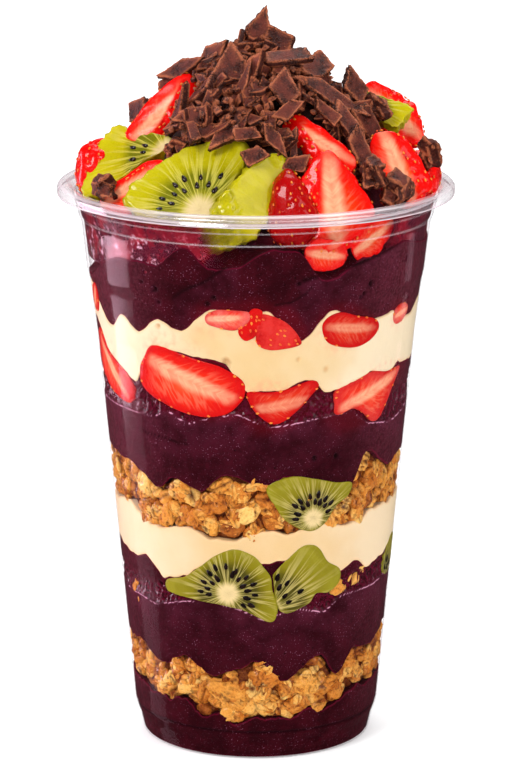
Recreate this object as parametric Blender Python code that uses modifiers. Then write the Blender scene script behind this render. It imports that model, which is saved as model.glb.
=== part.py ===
"""A tall clear cup of layered acai, vanilla cream, granola and fruit under a heap of chocolate.

The cup stands on z = 0 with its axis on the world Z axis and its shown side towards -Y.
Sizes below are millimetres, and angles are degrees round the cup from the shown side,
positive to the right.
"""
import math
import random
from dataclasses import dataclass

import bmesh
import bpy
from mathutils import Matrix, Vector

MM = 0.001
SEED = 11

# Cup
RIM_HEIGHT = 140.0
RIM_RADIUS = 49.0
WALL = 0.7
FLOOR_TOP = 1.7
FLOOR_UNDERSIDE = 0.9
FOOT_RADIUS = 28.4
RECESS_RADIUS = 24.5
CUP_STEPS = 32
# Outside of the wall as (height, radius): heel groove, long taper, step and stacking ledge
OUTER_WALL = ((4.5, 29.4), (7.5, 30.6), (55.5, 35.0), (103.5, 39.5), (116.0, 41.1), (118.5, 41.7),
              (131.0, 43.1), (132.0, 43.7), (137.2, 44.9))
HEEL_HEIGHT = 7.5

# Fits
WALL_GAP = 0.45
LAYER_GAP = 0.3
PIECE_GAP = 0.32

# Layers: crests and dips of each edge at the wall, as (angle, height)
LAYER_STEPS = 48
DOME_EDGE = 0.86
BASE_TOP = ((-80, 15.7), (-44, 14.0), (-36, 14.8), (-24, 11.0), (-17, 12.0), (-9, 9.2), (0, 11.5), (16, 11.0),
            (24, 13.2), (32, 11.5), (49, 15.4), (80, 15.5))
GRANOLA_LOW_TOP = ((-80, 26.5), (-62, 26.7), (-47, 22.7), (-34, 26.2), (-19, 21.7), (0, 26.0), (13, 21.2),
                   (30, 27.0), (39, 20.5), (50, 27.0), (61, 25.8), (80, 28.5))
ACAI_LOW_TOP = ((-80, 50.7), (-59, 49.0), (-52, 50.3), (-42, 46.0), (-35, 46.3), (-20, 50.6), (-9, 55.0),
                (1, 52.0), (12, 52.2), (23, 54.7), (36, 47.9), (47, 49.5), (55, 47.0), (80, 50.6))
CREAM_LOW_TOP = ((-80, 61.5), (-62, 63.0), (-43, 58.4), (-29, 60.0), (-12, 57.0), (3, 60.4), (12, 59.0),
                 (26, 60.8), (42, 59.5), (55, 62.0), (80, 62.5))
GRANOLA_MID_TOP = ((-80, 75.0), (-58, 73.5), (-41, 69.6), (-34, 72.6), (-22, 69.5), (-12, 74.4), (2, 72.3),
                   (13, 73.4), (39, 70.0), (48, 77.7), (63, 72.4), (80, 74.0))
ACAI_MID_TOP = ((-80, 107.0), (-61, 98.5), (-50, 95.0), (-39, 105.5), (-13, 103.0), (-2, 95.5), (7, 95.4),
                (18, 98.0), (29, 94.4), (47, 97.7), (55, 95.5), (63, 98.0), (80, 97.0))
CREAM_HIGH_TOP = ((-80, 116.0), (-62, 107.7), (-54, 111.0), (-45, 108.5), (-36, 112.0), (-27, 110.0),
                  (-15, 116.0), (3, 115.7), (15, 108.0), (27, 114.7), (46, 111.3), (55, 112.2), (68, 109.3),
                  (80, 112.0))
ACAI_TOP_TOP = ((-80, 118.0), (-53, 125.7), (-35, 126.0), (-24, 131.0), (-15, 126.0), (-8, 126.3), (5, 131.0),
                (12, 130.5), (24, 122.5), (38, 127.0), (56, 129.5), (80, 127.0))
DOME_TOP = 149.0
DOME_SHOULDER_HEIGHT = 143.0
DOME_SHOULDER = 0.55

# Granola
FLAKES_PER_ROW = 16
FLAKE_DEPTH = 2.3
FLAKE_WIDTH = 5.6
FLAKE_CLEARANCE = 0.4
GRANOLA_CORE = 0.927

# Chocolate heap
HEAP_CENTRE = (0.0, -2.0)
HEAP_PROFILE = ((29.0, 147.0), (26.0, 155.0), (18.0, 163.0), (8.5, 170.5))
HEAP_APEX = 175.0
HEAP_STEPS = 16
SHARD_COUNT = 30
SHARD_SPREAD = 260.0
SHARD_THICKNESS = 2.2


@dataclass(frozen=True)
class WallFruit:
    """A cut fruit pressed against the inside of the cup.

    angle and height place its middle on the wall. length runs along its tip direction,
    which is turned by tilt degrees from rightwards, anticlockwise. tip narrows that end,
    and flat cuts off the far side of the outline at this share of the half width.
    """

    name: str
    fruit: str
    angle: float
    height: float
    length: float
    width: float
    tilt: float
    depth: float
    tip: float = 0.0
    flat: float = 1.0


@dataclass(frozen=True)
class Topping:
    """A cut fruit on top, placed by the middle of its cut face.

    azimuth and lean are where the face looks, round the cup and upwards. roll turns its
    tip clockwise from straight up the face. span is the part of the circle, in degrees,
    that a slice keeps.
    """

    name: str
    fruit: str
    place: tuple
    azimuth: float
    lean: float
    roll: float
    length: float
    width: float
    depth: float
    tip: float = 0.3
    span: float = 0.0


@dataclass(frozen=True)
class Shard:
    """A flat broken piece of chocolate: middle, facing, roll, length, width and thickness."""

    place: tuple
    azimuth: float
    lean: float
    roll: float
    length: float
    width: float
    thickness: float = SHARD_THICKNESS


WALL_FRUIT = (
    WallFruit("strawberry_high_left", "strawberry", -76, 113.0, 8.0, 6.0, 60, 5.0, 0.2),
    WallFruit("strawberry_high_face", "strawberry", -11.5, 113.9, 10.5, 6.4, 5, 6.0, 0.1),
    WallFruit("strawberry_high_tip", "strawberry", -0.5, 112.3, 9.5, 7.0, -80, 6.0, 0.4),
    WallFruit("strawberry_high_middle", "strawberry", 9.5, 110.2, 11.0, 9.0, -30, 6.0, 0.3),
    WallFruit("strawberry_high_right", "strawberry", 34, 110.2, 15.0, 9.0, -8, 7.0, 0.3),
    WallFruit("strawberry_high_far_right", "strawberry", 61, 111.0, 7.5, 5.0, 10, 5.0, 0.2),
    WallFruit("strawberry_low_left", "strawberry", -65, 96.6, 21.0, 9.5, -42, 7.0, 0.35),
    WallFruit("strawberry_low_big", "strawberry", -23, 97.2, 28.5, 16.5, -21, 9.0, 0.32),
    WallFruit("strawberry_low_middle", "strawberry", 10, 92.3, 17.5, 10.5, 8, 7.0, 0.3),
    WallFruit("strawberry_low_right", "strawberry", 47, 93.0, 25.0, 11.5, 17, 8.0, 0.3),
    WallFruit("kiwi_mid", "kiwi", 22, 64.2, 20.5, 20.0, 0, 7.0, 0.0, 0.3),
    WallFruit("kiwi_low_left", "kiwi", -15.5, 46.0, 29.5, 20.5, -12, 7.0, 0.0, 0.62),
    WallFruit("kiwi_low_middle", "kiwi", 22, 47.8, 17.5, 14.5, 20, 7.0),
    WallFruit("kiwi_low_right", "kiwi", 78, 46.9, 12.0, 9.0, 35, 6.0),
    WallFruit("granola_scrap_right", "granola", 43, 45.3, 14.5, 6.0, 10, 3.5),
    WallFruit("granola_scrap_left", "granola", -64, 39.2, 5.5, 5.5, 60, 3.0),
)
# These pieces have a like one behind, mirrored to the back of the cup
SEEN_AGAIN_BEHIND = ("strawberry_high_tip", "strawberry_high_right", "strawberry_low_big", "strawberry_low_right",
                     "kiwi_mid", "kiwi_low_left")

TOPPINGS = (
    Topping("strawberry_front", "strawberry", (18.3, -34.2, 141.0), 6, 27, -4, 27.0, 19.5, 9.0, 0.42),
    Topping("strawberry_dark", "strawberry", (7.8, -33.0, 138.2), 162, -15, 14, 19.0, 12.0, 6.5, 0.3),
    Topping("kiwi_thick", "kiwi", (7.0, -35.0, 137.5), 22, 22, -55, 17.5, 17.5, 8.0, span=130.0),
    Topping("kiwi_front", "kiwi", (-13.2, -36.5, 139.5), -8, 42, -14, 19.5, 19.5, 7.0, span=188.0),
    Topping("strawberry_left", "strawberry", (-30.5, -26.0, 143.0), -30, 35, 48, 21.0, 12.0, 6.0, 0.3),
    Topping("kiwi_left", "kiwi", (-21.4, -17.5, 150.0), -32, 38, -100, 20.0, 20.0, 7.5, span=62.0),
    Topping("strawberry_far_left", "strawberry", (-37.0, -5.0, 143.5), 100, -5, 5, 15.0, 13.0, 7.0, 0.25),
    Topping("strawberry_back_left", "strawberry", (-24.0, -9.0, 157.5), -12, 30, 38, 24.0, 12.5, 8.0, 0.4),
    Topping("strawberry_slice", "strawberry", (14.5, -23.5, 154.0), 0, 30, 122, 23.0, 10.5, 6.0, 0.1),
    Topping("strawberry_right", "strawberry", (34.0, -20.5, 147.0), 10, 28, -17, 23.0, 13.5, 7.0, 0.38),
    Topping("strawberry_far_right", "strawberry", (39.0, -5.0, 142.0), -110, 0, 0, 13.0, 12.0, 6.0, 0.25),
    Topping("kiwi_back_right", "kiwi", (25.5, -1.0, 160.0), 5, 40, 112, 12.5, 12.5, 3.0, span=62.0),
    Topping("strawberry_back_right", "strawberry", (33.5, 5.0, 156.0), 20, 35, -40, 20.0, 15.0, 7.0, 0.3),
    Topping("strawberry_sunk_middle", "strawberry", (17.5, -40.0, 129.0), 20, 5, 100, 12.0, 7.0, 6.0, 0.2),
    Topping("strawberry_sunk_right", "strawberry", (29.0, -33.0, 132.0), 38, 5, 60, 14.0, 10.0, 6.0, 0.2),
    Topping("strawberry_behind", "strawberry", (-9.0, 35.5, 142.0), 190, 30, 10, 25.0, 17.0, 8.0, 0.38),
    Topping("kiwi_behind", "kiwi", (15.0, 34.0, 140.5), 160, 40, 12, 18.5, 18.5, 7.0, span=185.0),
    Topping("kiwi_behind_left", "kiwi", (-30.5, 22.5, 141.5), 232, 38, -20, 18.0, 18.0, 7.0, span=150.0),
    Topping("strawberry_behind_right", "strawberry", (36.0, 20.0, 143.0), 120, 30, 20, 21.0, 14.0, 7.0, 0.35),
)

HERO_SHARDS = (
    Shard((0.5, -3.0, 177.5), 10, 12, 28, 11.0, 6.5),
    Shard((5.5, -4.0, 174.5), -15, 20, -12, 12.0, 8.0),
    Shard((-6.5, -13.0, 168.5), -8, 25, 12, 15.0, 10.0),
    Shard((-1.0, -15.0, 167.5), -50, 10, 22, 21.0, 5.0),
    Shard((8.5, -12.0, 172.0), 5, 55, 85, 13.0, 5.0),
    Shard((-0.5, -19.0, 164.0), 0, 35, -10, 10.0, 7.5),
    Shard((6.5, -19.5, 165.5), 12, 25, 30, 9.5, 9.0),
    Shard((-6.5, -25.0, 157.0), -5, 40, 50, 15.0, 9.0),
    Shard((-14.0, -21.0, 159.5), -12, 30, 85, 11.0, 6.0),
    Shard((17.0, -14.0, 163.5), 25, 35, 125, 20.0, 5.5),
    Shard((22.5, -20.0, 156.0), 30, 28, 160, 15.0, 6.0),
    Shard((24.0, -3.0, 163.5), 40, 25, 10, 12.0, 7.0),
    Shard((-27.0, -3.0, 156.5), -60, 35, 30, 10.0, 8.0),
    Shard((-20.0, -3.0, 164.0), -40, 40, 50, 11.0, 8.0),
    Shard((-11.0, -4.0, 170.0), -30, 35, 30, 11.0, 7.0),
    Shard((15.0, -5.0, 168.5), 30, 40, 60, 11.0, 7.0),
    Shard((-28.5, -4.0, 158.0), -55, 20, 60, 9.0, 7.0),
    Shard((-17.5, -3.0, 168.0), -30, 30, 60, 11.0, 6.0),
    Shard((25.0, -23.0, 151.0), 25, 20, 165, 13.0, 7.0),
    Shard((27.0, -12.0, 156.0), 50, 20, 150, 13.0, 8.0),
    Shard((28.5, -17.0, 148.5), 40, 25, 20, 12.0, 8.0),
)

# Loose chocolate between the fruit: name, middle, half sizes and turn
CHUNKS = (
    ("chocolate_left", (-37.0, -27.0, 142.8), (3.6, 2.4, 2.5), 25.0),
    ("chocolate_plate", (27.8, -31.0, 147.5), (2.9, 2.0, 4.2), -12.0),
    ("chocolate_right", (34.0, -29.0, 142.6), (4.6, 3.0, 4.0), -10.0),
    ("chocolate_far_right", (42.0, -12.0, 148.5), (2.8, 2.6, 3.8), 20.0),
    ("chocolate_back_right", (29.5, -4.5, 158.5), (3.5, 2.4, 2.7), 10.0),
)

COLOURS = {
    "cup": (0.86, 0.84, 0.86),
    "acai": (0.055, 0.008, 0.022),
    "cream": (0.94, 0.81, 0.50),
    "granola": (0.52, 0.24, 0.06),
    "strawberry": (0.72, 0.045, 0.03),
    "kiwi": (0.36, 0.42, 0.03),
    "chocolate": (0.075, 0.022, 0.014),
}
ROUGHNESS = {"cup": 0.08, "acai": 0.4, "cream": 0.45, "granola": 0.7, "strawberry": 0.3, "kiwi": 0.3,
             "chocolate": 0.6}


def clear_scene():
    """Remove every object of the open file."""
    for item in list(bpy.data.objects):
        bpy.data.objects.remove(item, do_unlink=True)


def make_collection(name):
    """A new collection linked to the scene."""
    collection = bpy.data.collections.new(name)
    bpy.context.scene.collection.children.link(collection)
    return collection


def make_material(name, stuff):
    """A Principled material of one kind of stuff."""
    material = bpy.data.materials.new(name)
    material.use_nodes = True
    shader = material.node_tree.nodes["Principled BSDF"]
    shader.inputs["Base Color"].default_value = (*COLOURS[stuff], 1.0)
    shader.inputs["Roughness"].default_value = ROUGHNESS[stuff]
    shader.inputs["Metallic"].default_value = 0.0
    return material


def add_object(name, shape, collection):
    """Turn a bmesh in millimetres into an object in metres."""
    bmesh.ops.scale(shape, vec=(MM, MM, MM), verts=shape.verts)
    bmesh.ops.recalc_face_normals(shape, faces=shape.faces)
    mesh = bpy.data.meshes.new(name)
    shape.to_mesh(mesh)
    shape.free()
    item = bpy.data.objects.new(name, mesh)
    collection.objects.link(item)
    return item


def skin_rings(rings):
    """Skin a stack of rings, where a ring of one point closes an end.

    The diagonal always runs outwards and on, so that a top and the underside above it match.
    """
    shape = bmesh.new()
    rows = [[shape.verts.new(point) for point in ring] for ring in rings]
    for low, high in zip(rows, rows[1:]):
        count = max(len(low), len(high))
        for step in range(count):
            following = (step + 1) % count
            if len(low) == 1:
                shape.faces.new((low[0], high[step], high[following]))
            elif len(high) == 1:
                shape.faces.new((low[step], high[0], low[following]))
            elif low[0].co.xy.length < high[0].co.xy.length:
                shape.faces.new((low[step], high[step], high[following]))
                shape.faces.new((low[step], high[following], low[following]))
            else:
                shape.faces.new((low[step], high[step], low[following]))
                shape.faces.new((high[step], high[following], low[following]))
    return shape


def blend(knots, position):
    """Straight-line value at a position of ((position, value), ...) pairs."""
    if position <= knots[0][0]:
        return knots[0][1]
    for (start, first), (end, last) in zip(knots, knots[1:]):
        if position <= end:
            return first + (last - first) * (position - start) / (end - start)
    return knots[-1][1]


def content_radius(height):
    """Radius of the filling at a height, a gap inside the wall."""
    return blend(OUTER_WALL, height) - WALL - WALL_GAP


def edge_height(knots, angle):
    """Height of a layer's edge: eased from crest to dip, the back mirroring the front."""
    turned = (angle + 180.0) % 360.0 - 180.0
    folded = turned if abs(turned) <= 90.0 else math.copysign(180.0 - abs(turned), turned)
    if folded <= knots[0][0] or folded >= knots[-1][0]:
        return knots[0][1] if folded < 0 else knots[-1][1]
    for (start, first), (end, last) in zip(knots, knots[1:]):
        if folded <= end:
            share = (folded - start) / (end - start)
            return first + (last - first) * share * share * (3.0 - 2.0 * share)
    return knots[-1][1]


def wall_point(angle, height, radius):
    """Point at an angle from the shown side, a height and a radius."""
    turn = math.radians(angle)
    return Vector((radius * math.sin(turn), -radius * math.cos(turn), height))


def mean_height(knots):
    """Mean height of an edge round the cup."""
    turns = [edge_height(knots, step * 360.0 / LAYER_STEPS) for step in range(LAYER_STEPS)]
    return sum(turns) / len(turns)


def edge_ring(knots, share, lift):
    """Ring on a layer's edge at a share of the radius, flatter towards the middle."""
    middle = mean_height(knots)
    ring = []
    for step in range(LAYER_STEPS):
        angle = step * 360.0 / LAYER_STEPS
        height = edge_height(knots, angle)
        ring.append(wall_point(angle, middle + (height - middle) * share + lift, content_radius(height) * share))
    return ring


def dome_rings(lift):
    """Rings of the acai's heaped top, from the wall to the middle."""
    shoulder = [wall_point(step * 360.0 / LAYER_STEPS, DOME_SHOULDER_HEIGHT + lift,
                           content_radius(DOME_SHOULDER_HEIGHT) * DOME_SHOULDER) for step in range(LAYER_STEPS)]
    return [edge_ring(ACAI_TOP_TOP, 1.0, lift), edge_ring(ACAI_TOP_TOP, DOME_EDGE, lift + 1.5), shoulder,
            [Vector((0.0, 0.0, DOME_TOP + lift))]]


def layer_shape(lower, upper, share=1.0, trim=LAYER_GAP / 2.0):
    """Solid between two edges out to a share of the radius; with no lower edge it stands on the floor."""
    if lower is None:
        floor = FLOOR_TOP + WALL_GAP
        ring = [wall_point(step * 360.0 / LAYER_STEPS, floor, FOOT_RADIUS - WALL - WALL_GAP - 0.4)
                for step in range(LAYER_STEPS)]
        heel = [wall_point(step * 360.0 / LAYER_STEPS, HEEL_HEIGHT, content_radius(HEEL_HEIGHT))
                for step in range(LAYER_STEPS)]
        rings = [[Vector((0.0, 0.0, floor))], ring, heel]
    else:
        rings = [[Vector((0.0, 0.0, mean_height(lower) + trim))], edge_ring(lower, share, trim)]
    if upper is ACAI_TOP_TOP:
        rings += dome_rings(0.0)
    else:
        rings += [edge_ring(upper, share, -trim), [Vector((0.0, 0.0, mean_height(upper) - trim))]]
    return skin_rings(rings)


def apply_modifiers(item):
    """Replace the object's mesh by what its modifiers make of it."""
    graph = bpy.context.evaluated_depsgraph_get()
    mesh = bpy.data.meshes.new_from_object(item.evaluated_get(graph))
    item.modifiers.clear()
    item.data = mesh


def combine(item, operation, tools):
    """One Boolean of an object with a collection of tools, which is then removed."""
    if not tools:
        return
    holder = make_collection("tools")
    for tool in tools:
        for owner in list(tool.users_collection):
            owner.objects.unlink(tool)
        holder.objects.link(tool)
    modifier = item.modifiers.new("combine", "BOOLEAN")
    modifier.operand_type = "COLLECTION"
    modifier.collection = holder
    modifier.operation = operation
    modifier.solver = "MANIFOLD"
    apply_modifiers(item)
    for tool in tools:
        bpy.data.objects.remove(tool, do_unlink=True)
    bpy.data.collections.remove(holder)


def keep_largest_body(item):
    """Drop the loose scraps that a cut leaves beside the main body."""
    shape = bmesh.new()
    shape.from_mesh(item.data)
    waiting = set(shape.faces)
    bodies = []
    while waiting:
        body = [waiting.pop()]
        for face in body:
            for edge in face.edges:
                for neighbour in edge.link_faces:
                    if neighbour in waiting:
                        waiting.remove(neighbour)
                        body.append(neighbour)
        bodies.append(body)
    bodies.sort(key=lambda body: sum(face.calc_area() for face in body))
    scraps = [face for body in bodies[:-1] for face in body]
    bmesh.ops.delete(shape, geom=scraps, context="FACES")
    shape.to_mesh(item.data)
    shape.free()


def grown_copy(source, gap, collection):
    """Copy of a piece with every face moved outwards by a gap."""
    shape = bmesh.new()
    shape.from_mesh(source)
    shape.normal_update()
    moves = [vert.normal * gap * MM * min(vert.calc_shell_factor(), 1.8) for vert in shape.verts]
    for vert, move in zip(shape.verts, moves):
        vert.co += move
    mesh = bpy.data.meshes.new("grown")
    shape.to_mesh(mesh)
    shape.free()
    item = bpy.data.objects.new("grown", mesh)
    collection.objects.link(item)
    return item


def boxes_meet(first, second, gap):
    """Whether the boxes round two meshes come within a gap of each other."""
    for axis in range(3):
        low = max(min(vert.co[axis] for vert in mesh.vertices) for mesh in (first, second))
        high = min(max(vert.co[axis] for vert in mesh.vertices) for mesh in (first, second))
        if low > high + 2.0 * gap * MM:
            return False
    return True


def cut_clear(item, whole_pieces, scratch):
    """Cut an object clear of the whole forms of the pieces that come before it."""
    near = [mesh for mesh in whole_pieces if boxes_meet(item.data, mesh, PIECE_GAP)]
    combine(item, "DIFFERENCE", [grown_copy(mesh, PIECE_GAP, scratch) for mesh in near])
    keep_largest_body(item)


def build_cup(collection):
    """The thin clear cup: floor, stepped wall and curled rim, turned from one profile."""
    inside = [(radius - WALL, height) for height, radius in OUTER_WALL]
    top_of_wall = inside[-1][0]
    profile = [(0.0, FLOOR_TOP), (FOOT_RADIUS - WALL - 0.4, FLOOR_TOP), *inside]
    profile += [(top_of_wall + 0.35, RIM_HEIGHT - 1.0), (46.2, RIM_HEIGHT), (48.0, RIM_HEIGHT),
                (RIM_RADIUS, RIM_HEIGHT - 0.9), (RIM_RADIUS - 0.2, RIM_HEIGHT - 3.0)]
    profile += [(47.9, RIM_HEIGHT - 1.3), (46.4, RIM_HEIGHT - 0.9), (45.6, RIM_HEIGHT - 1.6)]
    profile += [(radius, height) for height, radius in reversed(OUTER_WALL)]
    profile += [(FOOT_RADIUS, 0.0), (RECESS_RADIUS, 0.0),
                (RECESS_RADIUS - 0.8, FLOOR_UNDERSIDE), (0.0, FLOOR_UNDERSIDE)]
    mesh = bpy.data.meshes.new("cup")
    points = [(radius * MM, 0.0, height * MM) for radius, height in profile]
    mesh.from_pydata(points, [(step, step + 1) for step in range(len(points) - 1)], [])
    cup = bpy.data.objects.new("cup", mesh)
    collection.objects.link(cup)
    turn = cup.modifiers.new("turn", "SCREW")
    turn.axis = "Z"
    turn.angle = math.tau
    turn.steps = CUP_STEPS
    turn.render_steps = CUP_STEPS
    turn.use_merge_vertices = True
    turn.merge_threshold = 0.00002
    turn.use_smooth_shade = False
    apply_modifiers(cup)
    cup.data.materials.append(make_material("clear_plastic", "cup"))
    return cup


def cavity(collection):
    """The room for pieces on top: inside the wall, and no wider than the rim above it."""
    profile = [(118.0, content_radius(118.0)), (131.0, content_radius(131.0)), (132.0, content_radius(132.0)),
               (137.2, content_radius(137.2)), (RIM_HEIGHT + WALL_GAP, 44.6), (RIM_HEIGHT + 0.8, 47.5),
               (195.0, 47.5)]
    rings = [[Vector((0.0, 0.0, profile[0][0]))]]
    for height, radius in profile:
        rings.append([wall_point(step * 360.0 / LAYER_STEPS, height, radius) for step in range(LAYER_STEPS)])
    rings.append([Vector((0.0, 0.0, profile[-1][0]))])
    return add_object("cavity", skin_rings(rings), collection)


def egg_outline(length, width, tip, flat, count=10):
    """Egg-shaped outline along X; tip narrows the +X end and flat trims the low side."""
    outline = []
    for step in range(count):
        turn = math.tau * step / count
        across = width / 2.0 * math.sin(turn) * (1.0 - tip * math.cos(turn))
        outline.append((length / 2.0 * math.cos(turn), max(across, -flat * width / 2.0)))
    return outline


def sector_outline(radius, span, count=8):
    """Outline of the part of a round slice that keeps a span of degrees about +X."""
    half = math.radians(span) / 2.0
    outline = [(-0.12 * radius, 0.0)]
    for step in range(count):
        turn = -half + 2.0 * half * step / (count - 1)
        outline.append((radius * math.cos(turn), radius * math.sin(turn)))
    return outline


def depth_rings(outline, depth, domed, place):
    """Rings of a cut fruit: its cut face, its rim and a domed or flat far side."""
    centre = (sum(x for x, _ in outline) / len(outline), sum(y for _, y in outline) / len(outline))

    def ring(share, inward):
        return [place(centre[0] + (x - centre[0]) * share, centre[1] + (y - centre[1]) * share, inward)
                for x, y in outline]

    if domed:
        steps = ((1.0, 0.0), (0.8, 0.72))
    else:
        steps = ((1.0, 0.0), (0.97, 1.0))
    rings = [[place(*centre, 0.0)]]
    rings += [ring(share, depth * inward) for share, inward in steps]
    rings.append([place(*centre, depth)])
    return rings


def wall_fruit_shape(piece):
    """A cut fruit whose cut face follows the inside of the wall."""
    tilt = math.radians(piece.tilt)

    def place(along, across, inward):
        sideways = along * math.cos(tilt) - across * math.sin(tilt)
        height = piece.height + along * math.sin(tilt) + across * math.cos(tilt)
        radius = content_radius(height)
        return wall_point(piece.angle + math.degrees(sideways / radius), height, radius - inward)

    outline = egg_outline(piece.length, piece.width, piece.tip, piece.flat)
    return skin_rings(depth_rings(outline, piece.depth, piece.fruit == "strawberry", place))


def facing_frame(place, azimuth, lean, roll):
    """Matrix with X along the tip, Z out of the face and Y across it."""
    turn, rise = math.radians(azimuth), math.radians(lean)
    out = Vector((math.sin(turn) * math.cos(rise), -math.cos(turn) * math.cos(rise), math.sin(rise)))
    up = (Vector((0.0, 0.0, 1.0)) - out * out.z).normalized()
    right = up.cross(out)
    tip = up * math.cos(math.radians(roll)) + right * math.sin(math.radians(roll))
    return Matrix.Translation(place) @ Matrix((tip, out.cross(tip), out)).transposed().to_4x4()


def topping_shape(piece):
    """A halved strawberry or part of a kiwi slice, in its place on top."""
    frame = facing_frame(Vector(piece.place), piece.azimuth, piece.lean, piece.roll)
    if piece.fruit == "kiwi":
        outline = sector_outline(piece.length, piece.span)
    else:
        outline = egg_outline(piece.length, piece.width, piece.tip, 1.0)
    domed = piece.fruit == "strawberry"
    return skin_rings(depth_rings(outline, piece.depth, domed, lambda x, y, z: frame @ Vector((x, y, -z))))


def flake_shape(angle, row, lower, upper, rng):
    """An oat cluster against the wall, in the low or the high row between two edges."""
    reach = math.degrees(FLAKE_WIDTH / content_radius(edge_height(lower, angle)))
    beside = [angle + reach * share for share in (-0.8, -0.4, 0.0, 0.4, 0.8)]
    low = max(edge_height(lower, turn) for turn in beside) + FLAKE_CLEARANCE
    high = min(edge_height(upper, turn) for turn in beside) - FLAKE_CLEARANCE
    height = low + (high - low) * (0.27 + 0.46 * row)
    flake = bmesh.new()
    bmesh.ops.create_icosphere(flake, subdivisions=1, radius=1.0)
    size = (FLAKE_WIDTH * rng.uniform(0.85, 1.05), FLAKE_DEPTH, (high - low) * rng.uniform(0.24, 0.27))
    bmesh.ops.rotate(flake, verts=flake.verts, cent=(0.0, 0.0, 0.0),
                     matrix=Matrix.Rotation(rng.uniform(0.0, math.tau), 3, "Y"))
    bmesh.ops.scale(flake, vec=size, verts=flake.verts)
    bmesh.ops.rotate(flake, verts=flake.verts, cent=(0.0, 0.0, 0.0),
                     matrix=Matrix.Rotation(math.radians(angle), 3, "Z"))
    bmesh.ops.translate(flake, vec=wall_point(angle, height, content_radius(height) - FLAKE_DEPTH - 0.15),
                        verts=flake.verts)
    return flake


def granola_layer(name, lower, upper, collection, scratch, rng):
    """A layer of oat clusters: a recessed core with flakes joined on round the wall."""
    layer = add_object(name, layer_shape(lower, upper, GRANOLA_CORE), collection)
    flakes = []
    for row in range(2):
        for step in range(FLAKES_PER_ROW):
            angle = (step + 0.5 * row + rng.uniform(-0.12, 0.12)) * 360.0 / FLAKES_PER_ROW
            flakes.append(add_object("flake", flake_shape(angle, row, lower, upper, rng), scratch))
    combine(layer, "UNION", flakes)
    keep_largest_body(layer)
    layer.data.materials.clear()
    layer.data.materials.append(make_material(name, "granola"))
    return layer


def shard_shape(shard, corners, rng):
    """A flat broken plate with a few uneven corners."""
    shape = bmesh.new()
    bmesh.ops.create_cone(shape, cap_ends=True, segments=corners, radius1=0.5, radius2=0.5, depth=1.0)
    bmesh.ops.rotate(shape, verts=shape.verts, cent=(0.0, 0.0, 0.0),
                     matrix=Matrix.Rotation(rng.uniform(0.0, math.tau), 3, "Z"))
    bmesh.ops.scale(shape, vec=(shard.length * 1.08, shard.width * 1.08, shard.thickness), verts=shape.verts)
    for vert in shape.verts:
        vert.co.x *= rng.uniform(0.88, 1.08)
        vert.co.y *= rng.uniform(0.88, 1.08)
    bmesh.ops.transform(shape, matrix=facing_frame(Vector(shard.place), shard.azimuth, shard.lean, shard.roll),
                        verts=shape.verts)
    return shape


def scattered_shards(rng):
    """Shards spread by the golden ratio over the back and sides of the heap."""
    shards = []
    profile = [(height, radius) for radius, height in HEAP_PROFILE] + [(HEAP_APEX, 0.0)]
    for step in range(SHARD_COUNT):
        angle = 180.0 + ((step * 0.618034) % 1.0 - 0.5) * SHARD_SPREAD
        height = 151.0 + (HEAP_APEX - 152.0) * ((step + 0.5) / SHARD_COUNT) ** 1.2
        radius = blend(profile, height) + 1.0
        place = wall_point(angle, height, radius) + Vector((*HEAP_CENTRE, 0.0))
        shards.append(Shard(tuple(place), angle + rng.uniform(-40, 40), rng.uniform(0, 45), rng.uniform(0, 180),
                            rng.uniform(9.5, 13.5), rng.uniform(6.0, 8.5)))
    return shards


def build_heap(collection, scratch, rng):
    """The heap of chocolate: a plain core with the broken pieces that show joined on."""
    floor = 140.0
    rings = [[Vector((*HEAP_CENTRE, floor))]]
    for radius, height in ((HEAP_PROFILE[0][0] - 4.0, floor), *HEAP_PROFILE):
        rings.append([wall_point(step * 360.0 / HEAP_STEPS, height, radius) + Vector((*HEAP_CENTRE, 0.0))
                      for step in range(HEAP_STEPS)])
    rings.append([Vector((*HEAP_CENTRE, HEAP_APEX))])
    heap = add_object("chocolate_heap", skin_rings(rings), collection)
    shards = [add_object("shard", shard_shape(shard, 5, rng), scratch) for shard in HERO_SHARDS]
    shards += [add_object("shard", shard_shape(shard, 4, rng), scratch) for shard in scattered_shards(rng)]
    combine(heap, "UNION", shards)
    heap.data.materials.clear()
    heap.data.materials.append(make_material("chocolate_heap", "chocolate"))
    return heap


def chunk_shape(centre, half_sizes, turn, rng):
    """A small angular lump of chocolate."""
    shape = bmesh.new()
    bmesh.ops.create_icosphere(shape, subdivisions=1, radius=1.0)
    for vert in shape.verts:
        vert.co *= rng.uniform(0.88, 1.1)
    bmesh.ops.scale(shape, vec=half_sizes, verts=shape.verts)
    bmesh.ops.rotate(shape, verts=shape.verts, cent=(0.0, 0.0, 0.0),
                     matrix=Matrix.Rotation(math.radians(turn), 3, "Y"))
    bmesh.ops.translate(shape, vec=centre, verts=shape.verts)
    return shape


def add_piece(name, stuff, shape, collection):
    """Add one named piece with its own material."""
    item = add_object(name, shape, collection)
    item.data.materials.append(make_material(name, stuff))
    return item


def behind(piece):
    """The like piece at the back of the cup."""
    return WallFruit(piece.name + "_behind", piece.fruit, 180.0 - piece.angle, piece.height, piece.length,
                     piece.width, 180.0 - piece.tilt if piece.flat == 1.0 else -piece.tilt, piece.depth,
                     piece.tip, piece.flat)


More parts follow.
